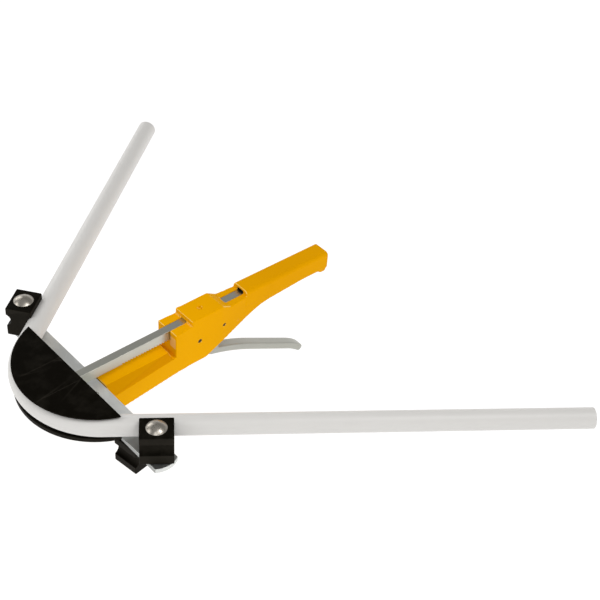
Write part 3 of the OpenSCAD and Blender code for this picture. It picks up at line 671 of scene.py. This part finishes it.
def zinc_steel(f, shades):
    """Galvanised flat steel: soft spangles and faint lines from rolling, with painted light and shade:
    lighter, less metallic stretches along the beam, painted shade on the top of its right end and on faces
    along the tool.
    """
    spangle = f.node("TexVoronoi", "Color", {"Vector": f.place((1, 0.6, 1)), "Scale": 160})
    fleck = f.node("SeparateColor", 0, {0: spangle})
    lines = f.noise(300, 2.0, 0.5, (6, 0.25, 6))
    along = f.along(1) / BEAM_SPAN + 0.5
    # Painted light: stretches of the beam made less metallic, so that they read lighter
    lit_patch = f.ramp(along, (0.16, 0.0), (0.22, 1.0), (0.43, 0.75), (0.50, 0.1), (0.60, 0.0), (0.85, 0.25))
    # Painted shade on the top of the beam's right end, under and beside the slide
    darkening = f.ramp(along, (0.155, 0.8), (0.20, 0.0)) * f.facing(2, (0.93, 0.0), (0.98, 1.0))
    # Painted shade on faces that face along the tool
    side = f.facing(0, (0.6, 0.0), (0.9, 0.8))
    shade = f.blend(fleck * 0.55 + lines * 0.3, shades.zinc, shades.zinc * 1.14)
    # Painted shade: the top of the beam's right end and the faces along the tool darkened
    shade = f.blend(side + darkening, shade, shades.zinc * 0.4)
    return f.done(Base_Color=shade, Metallic=1.0 - lit_patch * 0.95, Roughness=0.36 + fleck * 0.10 + lines * 0.08,
                  Normal=f.bump(lines, 0.00004, 0.3))


def rod_steel(f, shades):
    """Cold-drawn bar: fine lines along its length."""
    lines = f.noise(900, 3.0, 0.6, (0.02, 1, 1))
    darkening = f.ramp(f.noise(38, 3.0), (0.35, 0.0), (0.75, 1.0))
    return f.done(Base_Color=f.blend(darkening * 0.35 + lines * 0.25, shades.rod, shades.rod * 0.8),
                  Metallic=1.0, Roughness=0.25 + lines * 0.14, Normal=f.bump(lines, 0.00003, 0.4))


def bright_steel(f, shades):
    """Polished bolt heads with a trace of tool marks."""
    marks = f.noise(420, 4.0, 0.6)
    tone_shift = f.ramp(marks, (0.4, 0.0), (0.7, 1.0))
    return f.done(Base_Color=f.blend(tone_shift * 0.6, shades.bright, shades.bright * 0.66),
                  Metallic=1.0, Roughness=0.26 + tone_shift * 0.16, Normal=f.bump(marks, 0.00012, 0.4))


def lever_grey(f, shades):
    """Satin grey lever, cast and blasted."""
    grain = f.noise(1100, 3.0)
    cloud = f.ramp(f.noise(40, 3.0), (0.35, 0.0), (0.7, 1.0))
    return f.done(Base_Color=f.blend(cloud * 0.35, shades.grey, shades.grey * 0.86),
                  Metallic=0.72, Roughness=0.36 + grain * 0.12, Normal=f.bump(grain, 0.00008, 0.4))


def dark_steel(f, shades):
    """Oiled dark steel of the pins, pawls and springs."""
    film = f.noise(240, 3.0)
    return f.done(Base_Color=f.blend(film, shades.dark, shades.dark * 1.5),
                  Metallic=1.0, Roughness=0.30 + film * 0.2, Normal=f.bump(film, 0.00003, 0.3))


def finish_of(maker):
    """A finish, made once and shared by the pieces that have it."""
    name = maker.__name__.replace("_", " ")
    made = bpy.data.materials.get(name)
    return made or maker(Finish(bpy.data.materials.new(name)), bpy.context.scene.bender_finish)


# Pieces

class BENDER_OT_casting(bpy.types.Operator):
    """Round the edges of the yellow casting and paint it"""
    bl_idname = "bender.casting"
    bl_label = "Casting"
    passes, softer_passes, faces = 5, 25, 70000
    soft_start, soft_end, soft_depth, soft_out = 133.5, 208.0, 12.0, 10.5
    way_start, stroke, clear, end_clear = 90.0, 104.0, 0.36, 0.6

    def execute(self, context):
        size = millimetres(context.scene.bender_sizes)
        grid = size.casting_grid * 1
        solid = softened(cad_solid("body_casting"), grid, self.passes, self.faces, self.soft_edge,
                         self.softer_passes)
        place_piece("casting", cut(solid, self.way()), casting_paint, "body", "body_casting", sharp=60)
        return {"FINISHED"}

    def soft_edge(self, point):
        """Whether a point lies on the softer edges, which run over the cheeks."""
        return (self.soft_start < point.x < self.soft_end and BODY_TOP - point.z < self.soft_depth
                and abs(point.y) > self.soft_out)

    def way(self):
        """Cutter that keeps the rod's way through the casting square."""
        end = ROD_HIGH.x + self.stroke + self.end_clear
        outline = rectangle(self.way_start, ROD_LOW.z - self.clear, end, ROD_HIGH.z + self.clear)
        return prism(outline, ROD_LOW.y - self.clear, ROD_HIGH.y + self.clear)


class BENDER_OT_tube(bpy.types.Operator):
    """Sweep the white tube round its bend"""
    bl_idname = "bender.tube"
    bl_label = "Tube"
    around, bend_steps, leg_steps = 48, 56, 10

    def execute(self, context):
        size = millimetres(context.scene.bender_sizes)
        stations = self.stations(size)
        outer, rim = size.tube_d / 2, size.tube_rim
        bore = outer - size.tube_wall
        rings = self.skin(stations, outer, outer - rim, rim)
        rings += self.skin(stations, bore, bore + rim, rim)[::-1]
        circle = arc((0, 0), 1, 0, 360 * (1 - 1 / self.around), self.around - 1)
        bm = bmesh.new()
        rows = [[bm.verts.new(point + (across * p.x + up * p.y) * radius) for p in circle]
                for (point, across, up), radius in rings]
        for low, high in zip(rows, rows[1:] + rows[:1]):
            bridge(bm, low, high)
        bmesh.ops.recalc_face_normals(bm, faces=bm.faces)
        place_piece("tube", bm, white_tube, "rod", "bent_tube")
        return {"FINISHED"}

    def stations(self, size):
        """Middle line of the tube from the left end to the right end, with its cross directions."""
        up = Vector((0, 0, 1))
        centre = Vector((size.bend_x, 0, TUBE_Z))
        legs = []
        for side, span in ((1, size.leg_left), (-1, size.leg_right)):
            outward = Vector((-LEG_SIN, side * LEG_COS, 0))
            along = Vector((LEG_COS, side * LEG_SIN, 0))
            foot = centre + outward * size.bend_r
            legs.append([(foot + along * (span * k / self.leg_steps), outward, up)
                         for k in range(self.leg_steps, 0, -1)])
        start = math.degrees(math.asin(LEG_SIN)) + 90
        bend = []
        for k in range(self.bend_steps + 1):
            angle = math.radians(start + (360 - 2 * start) * k / self.bend_steps)
            outward = Vector((math.cos(angle), math.sin(angle), 0))
            bend.append((centre + outward * size.bend_r, outward, up))
        return legs[0] + bend + legs[1][::-1]

    def skin(self, stations, radius, end_radius, rim):
        """Rings of the tube's outside or its bore, as (station, radius), with chamfered ends."""
        rings = [(station, radius) for station in stations]
        for end, near in ((0, 1), (-1, -2)):
            point, across, up = stations[end]
            inward = (stations[near][0] - point).normalized()
            rings[end] = (point + inward * rim, across, up), radius
        return [(stations[0], end_radius)] + rings + [(stations[-1], end_radius)]


class BENDER_OT_former(bpy.types.Operator):
    """Turn the black former, cut its flat back and score its top"""
    bl_idname = "bender.former"
    bl_label = "Former"
    around, groove_steps, break_angle = 240, 24, 50
    core_r, corner_out, rod_clear, pin_hole_r = 20.0, 0.6, 0.05, 3.05

    def execute(self, context):
        size = millimetres(context.scene.bender_sizes)
        disc = lathe(self.section(size), self.around, ring=True)
        plan = prism(self.plan(size), FORMER_LOW.z - OVER, FORMER_HIGH.z + OVER, "Z")
        socket = prism(rectangle(ROD_LOW.x, ROD_LOW.z, FORMER_HIGH.x + OVER, ROD_HIGH.z),
                       ROD_LOW.y - self.rod_clear, ROD_HIGH.y + self.rod_clear)
        pin = middle_of("former_pin")
        hole = peg(self.pin_hole_r, FORMER_LOW.z - OVER, ROD_LOW.z + OVER, steps=32, at=(pin.x, pin.y, 0))
        scores = [self.score(size, *line) for line in SCORES]
        solid = cut(combined("INTERSECT", disc, plan), socket, hole, *scores)
        place_piece("former_segment", broken(solid, size.score_deep, self.break_angle), black_block, "rod",
                    "former", sharp=30)
        return {"FINISHED"}

    def section(self, size):
        """Section of the rim: two flanges with a round-bottomed groove between them."""
        low, high, core, rim = FORMER_LOW.z, FORMER_HIGH.z, self.core_r, size.former_r
        seat, flare, edges = size.seat_r, size.groove_flare, [0, size.former_edge, size.former_edge, 0]
        lip_low, lip_high = TUBE_Z - size.groove_r, TUBE_Z + size.groove_r
        groove = arc((seat, TUBE_Z), size.groove_r, 90, 270, self.groove_steps)
        upper = rounded([(core, high), (rim, high), (rim, lip_high + flare), (seat, lip_high)], edges, 4)
        lower = rounded([(seat, lip_low), (rim, lip_low - flare), (rim, low), (core, low)], edges, 4)
        return upper[:-1] + groove + lower[1:]

    def plan(self, size):
        """Plan of the segment: a flat back with two rounded corners."""
        back, rim = FORMER_HIGH.x, size.former_r
        half = math.sqrt(rim * rim - back * back) + self.corner_out
        corners = [0, size.former_corner, size.former_corner, 0]
        return rounded(rectangle(-2 * rim, -half, back, half), corners, 8)

    def score(self, size, y, start, end):
        """Cutter for one scored line along the tool."""
        half = size.score_w / 2
        plan = rectangle(start, y - half, end, y + half)
        return prism(plan, FORMER_HIGH.z - size.score_deep, FORMER_HIGH.z + OVER, "Z")


class BENDER_OT_slides(bpy.types.Operator):
    """Build the grooved slides over and under the beam"""
    bl_idname = "bender.slides"
    bl_label = "Slides"
    low_turn, bore_clear, groove_steps = 8.0, 0.1, 18

    def execute(self, context):
        size = millimetres(context.scene.bender_sizes)
        for kind, shape, turn, y in (
                ("slide_", self.upper, math.asin(LEG_SIN) - math.pi / 2, SLIDE_Y),
                ("lower_slide_", self.lower, -math.radians(self.low_turn), LOW_SLIDE_Y)):
            for side, flip in (("left", False), ("right", True)):
                name = kind + side
                placed = turned(shape(size), turn, (BEAM_X, y, 0), flip)
                place_piece(name + "_block", placed, black_block, name, name)
        return {"FINISHED"}

    def upper(self, size):
        """A slide over the beam: the tube's groove on one side and a spare one on the other."""
        half = size.slide_w / 2
        seat, spare = (size.slide_seat, size.groove_r), (half + size.spare_out, size.spare_r)
        return self.block(size, half, size.slide_len / 2, SLIDE_LOW.z, SLIDE_HIGH.z, TUBE_Z, seat, spare,
                          size.slide_bolt_d)

    def lower(self, size):
        """A slide under the beam, with a spare groove on both sides."""
        half, low, high = size.low_w / 2, LOW_SLIDE_LOW.z, LOW_SLIDE_HIGH.z
        spare = half + size.spare_out, size.spare_r
        return self.block(size, half, size.low_len / 2, low, high, (low + high) / 2, spare, spare,
                          size.low_bolt_d)

    def block(self, size, half_w, half_len, low, high, level, inner, outer, bolt_d):
        """A block with a round groove along each side, as (offset, radius), and a bore for its bolt."""
        def groove(offset, radius):
            """Groove in the face at half_w, from its lower lip to its upper lip."""
            reach = math.degrees(math.acos((offset - half_w) / radius))
            return arc((offset, level), radius, 180 + reach, 180 - reach, self.groove_steps)
        right = groove(*inner)
        left = [Vector((-p.x, p.y)) for p in groove(*outer)][::-1]
        corners = rectangle(half_w, high, -half_w, low)
        edges = [0, size.block_corner, size.block_corner, 0]
        top = rounded([right[-1], *corners[:2], left[0]], edges, 4)
        bottom = rounded([left[-1], *corners[2:], right[0]], edges, 4)
        outline = right[:-1] + top + left[1:-1] + bottom[:-1]
        solid = prism(outline, -half_len, half_len, "Y", size.block_edge)
        return cut(solid, peg((bolt_d + self.bore_clear) / 2, low - OVER, high + OVER))


class BENDER_OT_beam(bpy.types.Operator):
    """Build the flat cross beam with its holes"""
    bl_idname = "bender.beam"
    bl_label = "Cross beam"
    end_steps = 12

    def execute(self, context):
        size = millimetres(context.scene.bender_sizes)
        low, high = BEAM_LOW.z - OVER, BEAM_HIGH.z + OVER
        bolt_r, head_r = size.low_bolt_d / 2 + SNUG, size.low_head_d / 2 + SNUG
        sink = [(0, low), (bolt_r, low), (bolt_r, BEAM_HIGH.z - size.low_head_h), (head_r, BEAM_HIGH.z),
                (head_r, high), (0, high)]
        holes = []
        for side in (-1, 1):
            for y, d in ((SLIDE_Y, size.slide_bolt_d), (SCREW_Y, size.beam_screw_d)):
                holes.append(peg(d / 2 + SNUG, low, high, at=(BEAM_X, side * y, 0)))
            holes.append(lathe(sink, 40, (BEAM_X, side * LOW_SLIDE_Y, 0)))
        bar = prism(self.plan(size), BEAM_LOW.z, BEAM_HIGH.z, "Z", size.beam_edge)
        place_piece("beam", cut(bar, *holes), zinc_steel, "body", "cross_beam")
        return {"FINISHED"}

    def plan(self, size):
        """Plan of the bar: two round ends with rounded corners."""
        half_x, end = (BEAM_HIGH.x - BEAM_LOW.x) / 2, BEAM_HIGH.y - size.beam_end_r
        reach = math.degrees(math.asin(half_x / size.beam_end_r))
        steps = self.end_steps
        outline = [p for turn, y in ((90, end), (270, -end))
                   for p in arc((BEAM_X, y), size.beam_end_r, turn - reach, turn + reach, steps)]
        corners = [size.beam_corner if k % (steps + 1) in (0, steps) else 0 for k in range(len(outline))]
        return rounded(outline, corners, 4)


class BENDER_OT_rod(bpy.types.Operator):
    """Build the toothed push rod and its two pins"""
    bl_idname = "bender.rod"
    bl_label = "Push rod"
    pitch, depth = 4.0, 2.2
    first_tooth, teeth = 29.35, 42
    pins = (("former_peg", "former_pin", 3.0, 0.5, 32, "Z"), ("rod_stop", "rod_stop_pin", 2.0, 0.3, 24, "Y"))

    def execute(self, context):
        size = millimetres(context.scene.bender_sizes)
        bar = prism(self.profile(), ROD_LOW.y, ROD_HIGH.y)
        upper = [e for e in bar.edges if all(v.co.z > ROD_HIGH.z - WELD for v in e.verts)]
        round_edges(bar, upper, size.rod_edge)
        place_piece("rod", bar, rod_steel, "rod", "push_rod")
        for name, node, *shape in self.pins:
            place_piece(name, node_pin(node, *shape), dark_steel, "rod", node)
        return {"FINISHED"}

    def profile(self):
        """Side view of the bar with the teeth along its underside."""
        low, high = ROD_LOW.z, ROD_HIGH.z
        outline = [(ROD_LOW.x, low)]
        for i in range(self.teeth):
            root = self.first_tooth + i * self.pitch
            outline += [(root, low), (root, low + self.depth)]
        last = self.first_tooth + self.teeth * self.pitch
        return outline + [(last, low), (ROD_HIGH.x, low), (ROD_HIGH.x, high), (ROD_LOW.x, high)]


class BENDER_OT_lever(bpy.types.Operator):
    """Build the grey squeeze lever with its curved handle"""
    bl_idname = "bender.lever"
    bl_label = "Lever"
    grid, passes, faces = 0.55, 12, 45000
    handle_back, handle_drop, handle_slope = 30.5, 42.4, 17.5
    # Stretches of the handle: length, turn in degrees and steps
    runs = ((72.0, 11.5, 9), (84.0, 0.0, 4), (24.0, 14.0, 6))
    # Points of the arm's rear edge, as shares of the handle's distance behind and below the pin
    heel = ((0.4, 0.035), (0.75, 0.175))
    handle_round, end_steps, end_height, end_width = 2.2, 6, 0.05, 0.7
    hub_inset, hub_edge, ear_edge = 0.2, 1.2, 0.8
    fork_half, ear_r, relief_r, bore_r, ear_bore_r = 4.9, 4.6, 6.3, 3.05, 2.02
    fork = ((6, 0), (6, 20), (-20, 20), (-20, -5), (-3, -5))

    def execute(self, context):
        size = millimetres(context.scene.bender_sizes)
        path, slopes = self.middle_line()
        half_w, fork = size.hub_w / 2, self.fork_half
        reach = half_w + OVER
        at_hub, at_ears = (LEVER_PIN.x, 0, LEVER_PIN.z), (DRIVE_PIN.x, 0, DRIVE_PIN.z)
        hub = peg(size.hub_r, -half_w, half_w, self.hub_edge, 48, at_hub, "Y")
        ears = peg(self.ear_r, -half_w, half_w, self.ear_edge, 40, at_ears, "Y")
        arm = prism(self.arm(size, path, slopes), -half_w, half_w, "Y", self.hub_edge)
        body = combined("UNION", arm, hub, ears, self.handle(size, path, slopes))
        body = softened(body, self.grid, self.passes, self.faces)
        slot = prism([(DRIVE_PIN.x + x, DRIVE_PIN.z + z) for x, z in self.fork], -fork, fork)
        relief = peg(self.relief_r, -fork, fork, at=at_ears, axis="Y")
        bore = peg(self.bore_r, -reach, reach, steps=32, at=at_hub, axis="Y")
        ear_bore = peg(self.ear_bore_r, -reach, reach, steps=24, at=at_ears, axis="Y")
        body = cut(body, combined("UNION", slot, relief, bore), ear_bore)
        place_piece("squeeze_lever", body, lever_grey, "lever", "lever", sharp=60)
        return {"FINISHED"}

    def middle_line(self):
        """Points of the handle's middle line in the side view, and its slope at each."""
        point = Vector((LEVER_PIN.x + self.handle_back, LEVER_PIN.z - self.handle_drop))
        slope = self.handle_slope
        points, slopes = [point], [slope]
        for span, turn, steps in self.runs:
            for _ in range(steps):
                middle = math.radians(slope + turn / steps / 2)
                point = point + Vector((math.cos(middle), -math.sin(middle))) * (span / steps)
                slope += turn / steps
                points.append(point)
                slopes.append(slope)
        return points, slopes

    def arm(self, size, path, slopes):
        """Side view of the arm between the hub and the handle."""
        def side(n, half):
            """Point of the handle's upper or lower side at a station."""
            angle = math.radians(slopes[n])
            return path[n] + Vector((math.sin(angle), math.cos(angle))) * half
        half = size.handle_t / 2
        hub, inset = Vector((LEVER_PIN.x, LEVER_PIN.z)), Vector((size.hub_r - self.hub_inset, 0))
        heel = [path[0] + Vector((-back * self.handle_back, rise * self.handle_drop))
                for back, rise in self.heel]
        return [hub - inset, hub + inset, side(1, half), side(0, half), side(0, -half), *heel]

    def handle(self, size, path, slopes):
        """The handle: a flat bar with rounded edges that closes to a round end."""
        half_w, half_t = size.handle_w / 2, size.handle_t / 2
        section = rounded(rectangle(half_w, half_t, -half_w, -half_t), self.handle_round, 7)
        across = Vector((0, 1, 0))
        stations = []
        for point, slope in zip(path, slopes):
            angle = math.radians(slope)
            up = Vector((math.sin(angle), 0, math.cos(angle)))
            stations.append((Vector((point.x, 0, point.y)), across, up))
        last, _, up = stations[-1]
        along = Vector((up.z, 0, -up.x))
        for k in range(1, self.end_steps + 1):
            turn = math.pi / 2 * k / self.end_steps
            shrink = max(math.cos(turn), self.end_height)
            width = self.end_width + (1 - self.end_width) * shrink
            stations.append((last + along * (half_t * math.sin(turn)), across * width, up * shrink))
        return sweep(stations, section)


class BENDER_OT_fasteners(bpy.types.Operator):
    """Turn the bolts, washers, nuts and screws"""
    bl_idname = "bender.fasteners"
    bl_label = "Fasteners"
    slide_washer_d, slide_nut_d = 20.0, 18.5
    low_washer_d, low_nut_d = 17.0, 15.0
    thread_lead, flank, land = 0.3, 0.4, 0.6
    dome_edge, dome_under, dome_steps = 0.25, 0.4, 14
    low_pitch, low_depth, low_edge, low_key, low_key_deep = 1.25, 0.6, 0.15, 5.8, 3.0
    washer_edge, nut_edge, nut_over, nut_face = 0.3, 0.8, 0.3, 0.2
    screw_head_r, screw_head_h, screw_edge, screw_key, screw_key_deep = 6.5, 8.0, 0.5, 6.4, 4.8
    guide_r, guide_edge, guide_key, guide_key_deep = 3.0, 0.2, 3.4, 0.8

    def execute(self, context):
        size = millimetres(context.scene.bender_sizes)
        slide_d, low_d = size.slide_bolt_d, size.low_bolt_d
        for name, node, maker, y, make, *sizes in (
                ("slide_bolt_pair", "slide_bolts", bright_steel, SLIDE_Y, self.domed, size),
                ("slide_washer_pair", "slide_washers", zinc_steel, SLIDE_Y, self.washer,
                 self.slide_washer_d, slide_d),
                ("slide_nut_pair", "slide_nuts", zinc_steel, SLIDE_Y, self.nut, self.slide_nut_d, slide_d),
                ("low_bolt_pair", "lower_slide_bolts", zinc_steel, LOW_SLIDE_Y, self.countersunk, size),
                ("low_washer_pair", "lower_slide_washers", zinc_steel, LOW_SLIDE_Y, self.washer,
                 self.low_washer_d, low_d),
                ("low_nut_pair", "lower_slide_nuts", zinc_steel, LOW_SLIDE_Y, self.nut,
                 self.low_nut_d, low_d),
                ("beam_screw_pair", "beam_screws", zinc_steel, SCREW_Y, self.socket_screw, size)):
            solids = [turned(make(node, *sizes), 0, (BEAM_X, side * y, 0)) for side in (-1, 1)]
            place_piece(name, together(*solids), maker, "body", node)
        place_piece("guide_grub", self.guide_screw("guide_screw"), casting_paint, "body", "guide_screw")
        return {"FINISHED"}

    def thread(self, radius, low, high, pitch=1.5, depth=0.7):
        """Half profile of a threaded end between two heights, from the bottom up."""
        root, z = radius - depth, low + self.thread_lead
        points = [(0, low), (root, low)]
        while z + pitch <= high:
            points += [(root, z), (radius, z + pitch * self.flank), (radius, z + pitch * self.land)]
            z += pitch
        return points + [(root, z), (radius, z + depth)]

    def domed(self, node, size):
        """A slide bolt with its domed head."""
        low, high = node_box(node)
        shank, head, height = size.slide_bolt_d / 2, size.slide_head_d / 2, size.slide_head_h
        under = high.z - height
        dome = (head ** 2 + height ** 2) / (2 * height)
        widest = math.degrees(math.asin((head - self.dome_edge) / dome))
        cap = arc((0, high.z - dome), dome, 90 - widest, 90, self.dome_steps)
        rim = [(shank, under), (head - self.dome_under, under), (head, under + self.dome_edge)]
        end = self.thread(shank, low.z, node_box("slide_nuts")[1].z)
        return lathe(end + rim + cap[:-1] + [(0, high.z)], 64)

    def countersunk(self, node, size):
        """A lower slide's bolt with its flush head and hexagon socket."""
        low, high = node_box(node)
        shank, head, edge, top = size.low_bolt_d / 2, size.low_head_d / 2, self.low_edge, high.z
        end = self.thread(shank, low.z, node_box("lower_slide_nuts")[1].z, self.low_pitch, self.low_depth)
        cone = [(shank, top - size.low_head_h), (head, top - edge), (head - edge, top), (0, top)]
        key = prism(hexagon(self.low_key), top - self.low_key_deep, top + OVER, "Z")
        return cut(lathe(end + cone, 48), key)

    def washer(self, node, outer_d, hole_d):
        """A stamped washer with broken edges."""
        low, high = node_box(node)
        inner, outer, edge = hole_d / 2 + SNUG, outer_d / 2, self.washer_edge
        return lathe([(inner, low.z), (outer - edge, low.z), (outer, low.z + edge), (outer, high.z - edge),
                      (outer - edge, high.z), (inner, high.z)], 48, ring=True)

    def nut(self, node, corners_d, hole_d):
        """A hexagon nut with turned corners."""
        low, high = node_box(node)
        widest, edge = corners_d / 2 + self.nut_over, self.nut_edge
        face = corners_d / 2 * math.cos(math.pi / 6) - self.nut_face
        barrel = lathe([(0, low.z), (face, low.z), (widest, low.z + edge), (widest, high.z - edge),
                        (face, high.z), (0, high.z)], 60)
        bar = prism(hexagon(corners_d), low.z - OVER, high.z + OVER, "Z")
        hole = peg(hole_d / 2 + SNUG, low.z - OVER, high.z + OVER)
        return cut(combined("INTERSECT", bar, barrel), hole)

    def socket_screw(self, node, size):
        """A socket screw that holds the beam from below."""
        low, high = node_box(node)
        head, shank, edge, under = self.screw_head_r, size.beam_screw_d / 2, self.screw_edge, low.z
        seat = under + self.screw_head_h
        profile = [(0, under), (head - edge, under), (head, under + edge), (head, seat), (shank, seat),
                   (shank, high.z - edge), (shank - edge, high.z), (0, high.z)]
        key = prism(hexagon(self.screw_key), under - OVER, under + self.screw_key_deep, "Z")
        return cut(lathe(profile, 48), key)

    def guide_screw(self, node):
        """The grub screw in the bridge, which is painted over with the casting."""
        top = node_box(node)[1].z
        key = prism(hexagon(self.guide_key, middle_of(node)), top - self.guide_key_deep, top + OVER, "Z")
        return cut(node_pin(node, self.guide_r, self.guide_edge, 40, "Z"), key)


class BENDER_OT_ratchet(bpy.types.Operator):
    """Build the cross pins, the two pawls and the three springs"""
    bl_idname = "bender.ratchet"
    bl_label = "Ratchet"
    pin_edge, pawl_edge, pawl_angle = 0.15, 0.3, 40
    pins = (("lever_pin", 3.0, dark_steel, "body"), ("holding_pawl_pin", 2.5, dark_steel, "body"),
            ("drive_pawl_pin", 2.0, dark_steel, "lever"), ("spring_pin", 1.5, casting_paint, "body"))
    # Node, inner radius, turns and body of each spring
    springs = (("lever_return_spring", 1.8, 7, "body"), ("holding_pawl_spring", 2.65, 3, "body"),
               ("drive_pawl_spring", 2.15, 2, "lever"))
    turn_steps, wire_steps, spare_turn = 20, 8, 0.4

    def execute(self, context):
        size = millimetres(context.scene.bender_sizes)
        for node, radius, maker, body in self.pins:
            place_piece(node + "_turned", node_pin(node, radius, self.pin_edge), maker, body, node)
        for node, inner, turns, body in self.springs:
            coil = self.coil(node, inner, turns, size.spring_wire)
            place_piece(node + "_coil", coil, dark_steel, body, node, sharp=0)
        for node in ("drive_pawl", "holding_pawl"):
            pawl = broken(cad_solid(node), self.pawl_edge, self.pawl_angle)
            place_piece(node + "_hardened", pawl, dark_steel, node, node)
        return {"FINISHED"}

    def coil(self, node, inner, turns, wire):
        """A close-wound spring that fills the sleeve of its node."""
        low, high = node_box(node)
        middle = middle_of(node)
        radius = inner + wire / 2
        first, last = low.y + wire / 2, high.y - wire / 2
        thick = min(wire, (high.y - low.y) / (turns + self.spare_turn)) / 2
        section = arc((0, 0), thick, 0, 360 * (1 - 1 / self.wire_steps), self.wire_steps - 1)
        stations = []
        steps = self.turn_steps * turns
        for k in range(steps + 1):
            angle = math.tau * turns * k / steps
            outward = Vector((math.cos(angle), 0, math.sin(angle)))
            point = Vector((middle.x, first + (last - first) * k / steps, middle.z)) + outward * radius
            stations.append((point, outward, Vector((0, 1, 0))))
        return sweep(stations, section)


# Studio

class BENDER_OT_stage(bpy.types.Operator):
    """Set up the pale floor, the soft lights and the camera"""
    bl_idname = "bender.stage"
    bl_label = "Stage"
    right = Vector((0.7456, -0.6632, 0.0644))
    up = Vector((0.3951, 0.5179, 0.7587))
    forward = Vector((0.5366, 0.5403, -0.6482))
    target = Vector((0.10, -0.02, 0.04))
    # Name, place and width of each light, in metres
    lights = (("key", (0.40, -0.86, 1.68), 0.7), ("side", (0.15, 1.9, 0.85), 1.0),
              ("front", (-1.15, 0.90, 0.95), 0.9), ("fill", (-0.40, -0.55, 0.85), 0.5))
    floor_gap = 0.0005

    def execute(self, context):
        scene = context.scene
        studio = scene.bender_studio
        self.floor(studio)
        self.sky(scene)
        for name, place, width in self.lights:
            self.softbox(name, Vector(place), width, getattr(studio, name + "_power"))
        camera = bpy.data.cameras.new("camera")
        camera.lens = studio.lens
        camera.sensor_width = 36.0
        camera.clip_end = 100.0
        scene.camera = linked("camera", camera)
        axes = Matrix((self.right, self.up, -self.forward)).transposed()
        scene.camera.matrix_world = Matrix.Translation(Vector(studio.camera_at)) @ axes.to_4x4()
        scene.view_settings.view_transform = "Standard"
        scene.view_settings.look = "None"
        return {"FINISHED"}

    def floor(self, studio):
        """A wide pale floor that is lit from within."""
        half = studio.floor_size / 2
        level = CAD_BOX[0][2] - self.floor_gap
        mesh = bpy.data.meshes.new("floor")
        mesh.from_pydata([(*p, level) for p in rectangle(-half, -half, half, half)], [], [(0, 1, 2, 3)])
        f = Finish(bpy.data.materials.new("pale floor"))
        white = f.blend(f.noise(3), (studio.floor_white,) * 3, (studio.floor_white * 0.98,) * 3)
        mesh.materials.append(f.done(Base_Color=white, Roughness=0.9, Specular_IOR_Level=0.0,
                                     Emission_Color=(1.0, 1.0, 1.0), Emission_Strength=studio.floor_glow))
        obj = linked("floor", mesh)

    def sky(self, scene):
        """Soft surroundings: white low down, greyer overhead."""
        f = Finish(bpy.data.worlds.new("studio"))
        height = f.node("SeparateXYZ", 2, {0: f.node("TexCoord", "Generated")})
        shade = f.ramp(height, (0.0, 1.0), (0.12, 0.95), (0.45, 0.36), (0.8, 0.34), (1.0, 0.5))
        scene.world = f.close(f.node("Background", 0, {"Color": shade, "Strength": 1.0}), "OutputWorld")

    def softbox(self, name, place, width, power):
        """A square soft light aimed at the tool."""
        light = bpy.data.lights.new(name, "AREA")
        light.size = width
        light.energy = power
        obj = linked(name, light)
        obj.location = place
        obj.rotation_euler = (self.target - place).to_track_quat("-Z", "Y").to_euler()


class BENDER_PT_panel(bpy.types.Panel):
    """Sidebar panel with the pieces of the bender and its studio"""
    bl_idname = "BENDER_PT_panel"
    bl_label = "Tube bender"
    bl_space_type = "VIEW_3D"
    bl_region_type = "UI"
    bl_category = "Bender"

    def draw(self, context):
        for operator in OPERATORS:
            self.layout.operator(operator.bl_idname)
        for name in GROUPS:
            group = getattr(context.scene, name)
            box = self.layout.box()
            for key in type(group).__annotations__:
                box.prop(group, key)


GROUPS = {"bender_sizes": BenderSizes, "bender_finish": BenderFinish, "bender_studio": BenderStudio}
OPERATORS = (BENDER_OT_casting, BENDER_OT_tube, BENDER_OT_former, BENDER_OT_slides, BENDER_OT_beam,
             BENDER_OT_rod, BENDER_OT_lever, BENDER_OT_fasteners, BENDER_OT_ratchet, BENDER_OT_stage)


def register():
    for cls in (*GROUPS.values(), *OPERATORS, BENDER_PT_panel):
        bpy.utils.register_class(cls)
    for name, cls in GROUPS.items():
        setattr(bpy.types.Scene, name, PointerProperty(type=cls))


def unregister():
    for name in GROUPS:
        delattr(bpy.types.Scene, name)
    for cls in (BENDER_PT_panel, *reversed(OPERATORS), *GROUPS.values()):
        bpy.utils.unregister_class(cls)


def main():
    register()
    for operator in OPERATORS:
        getattr(bpy.ops.bender, operator.bl_idname.split(".")[1])()


if __name__ == "__main__":
    main()
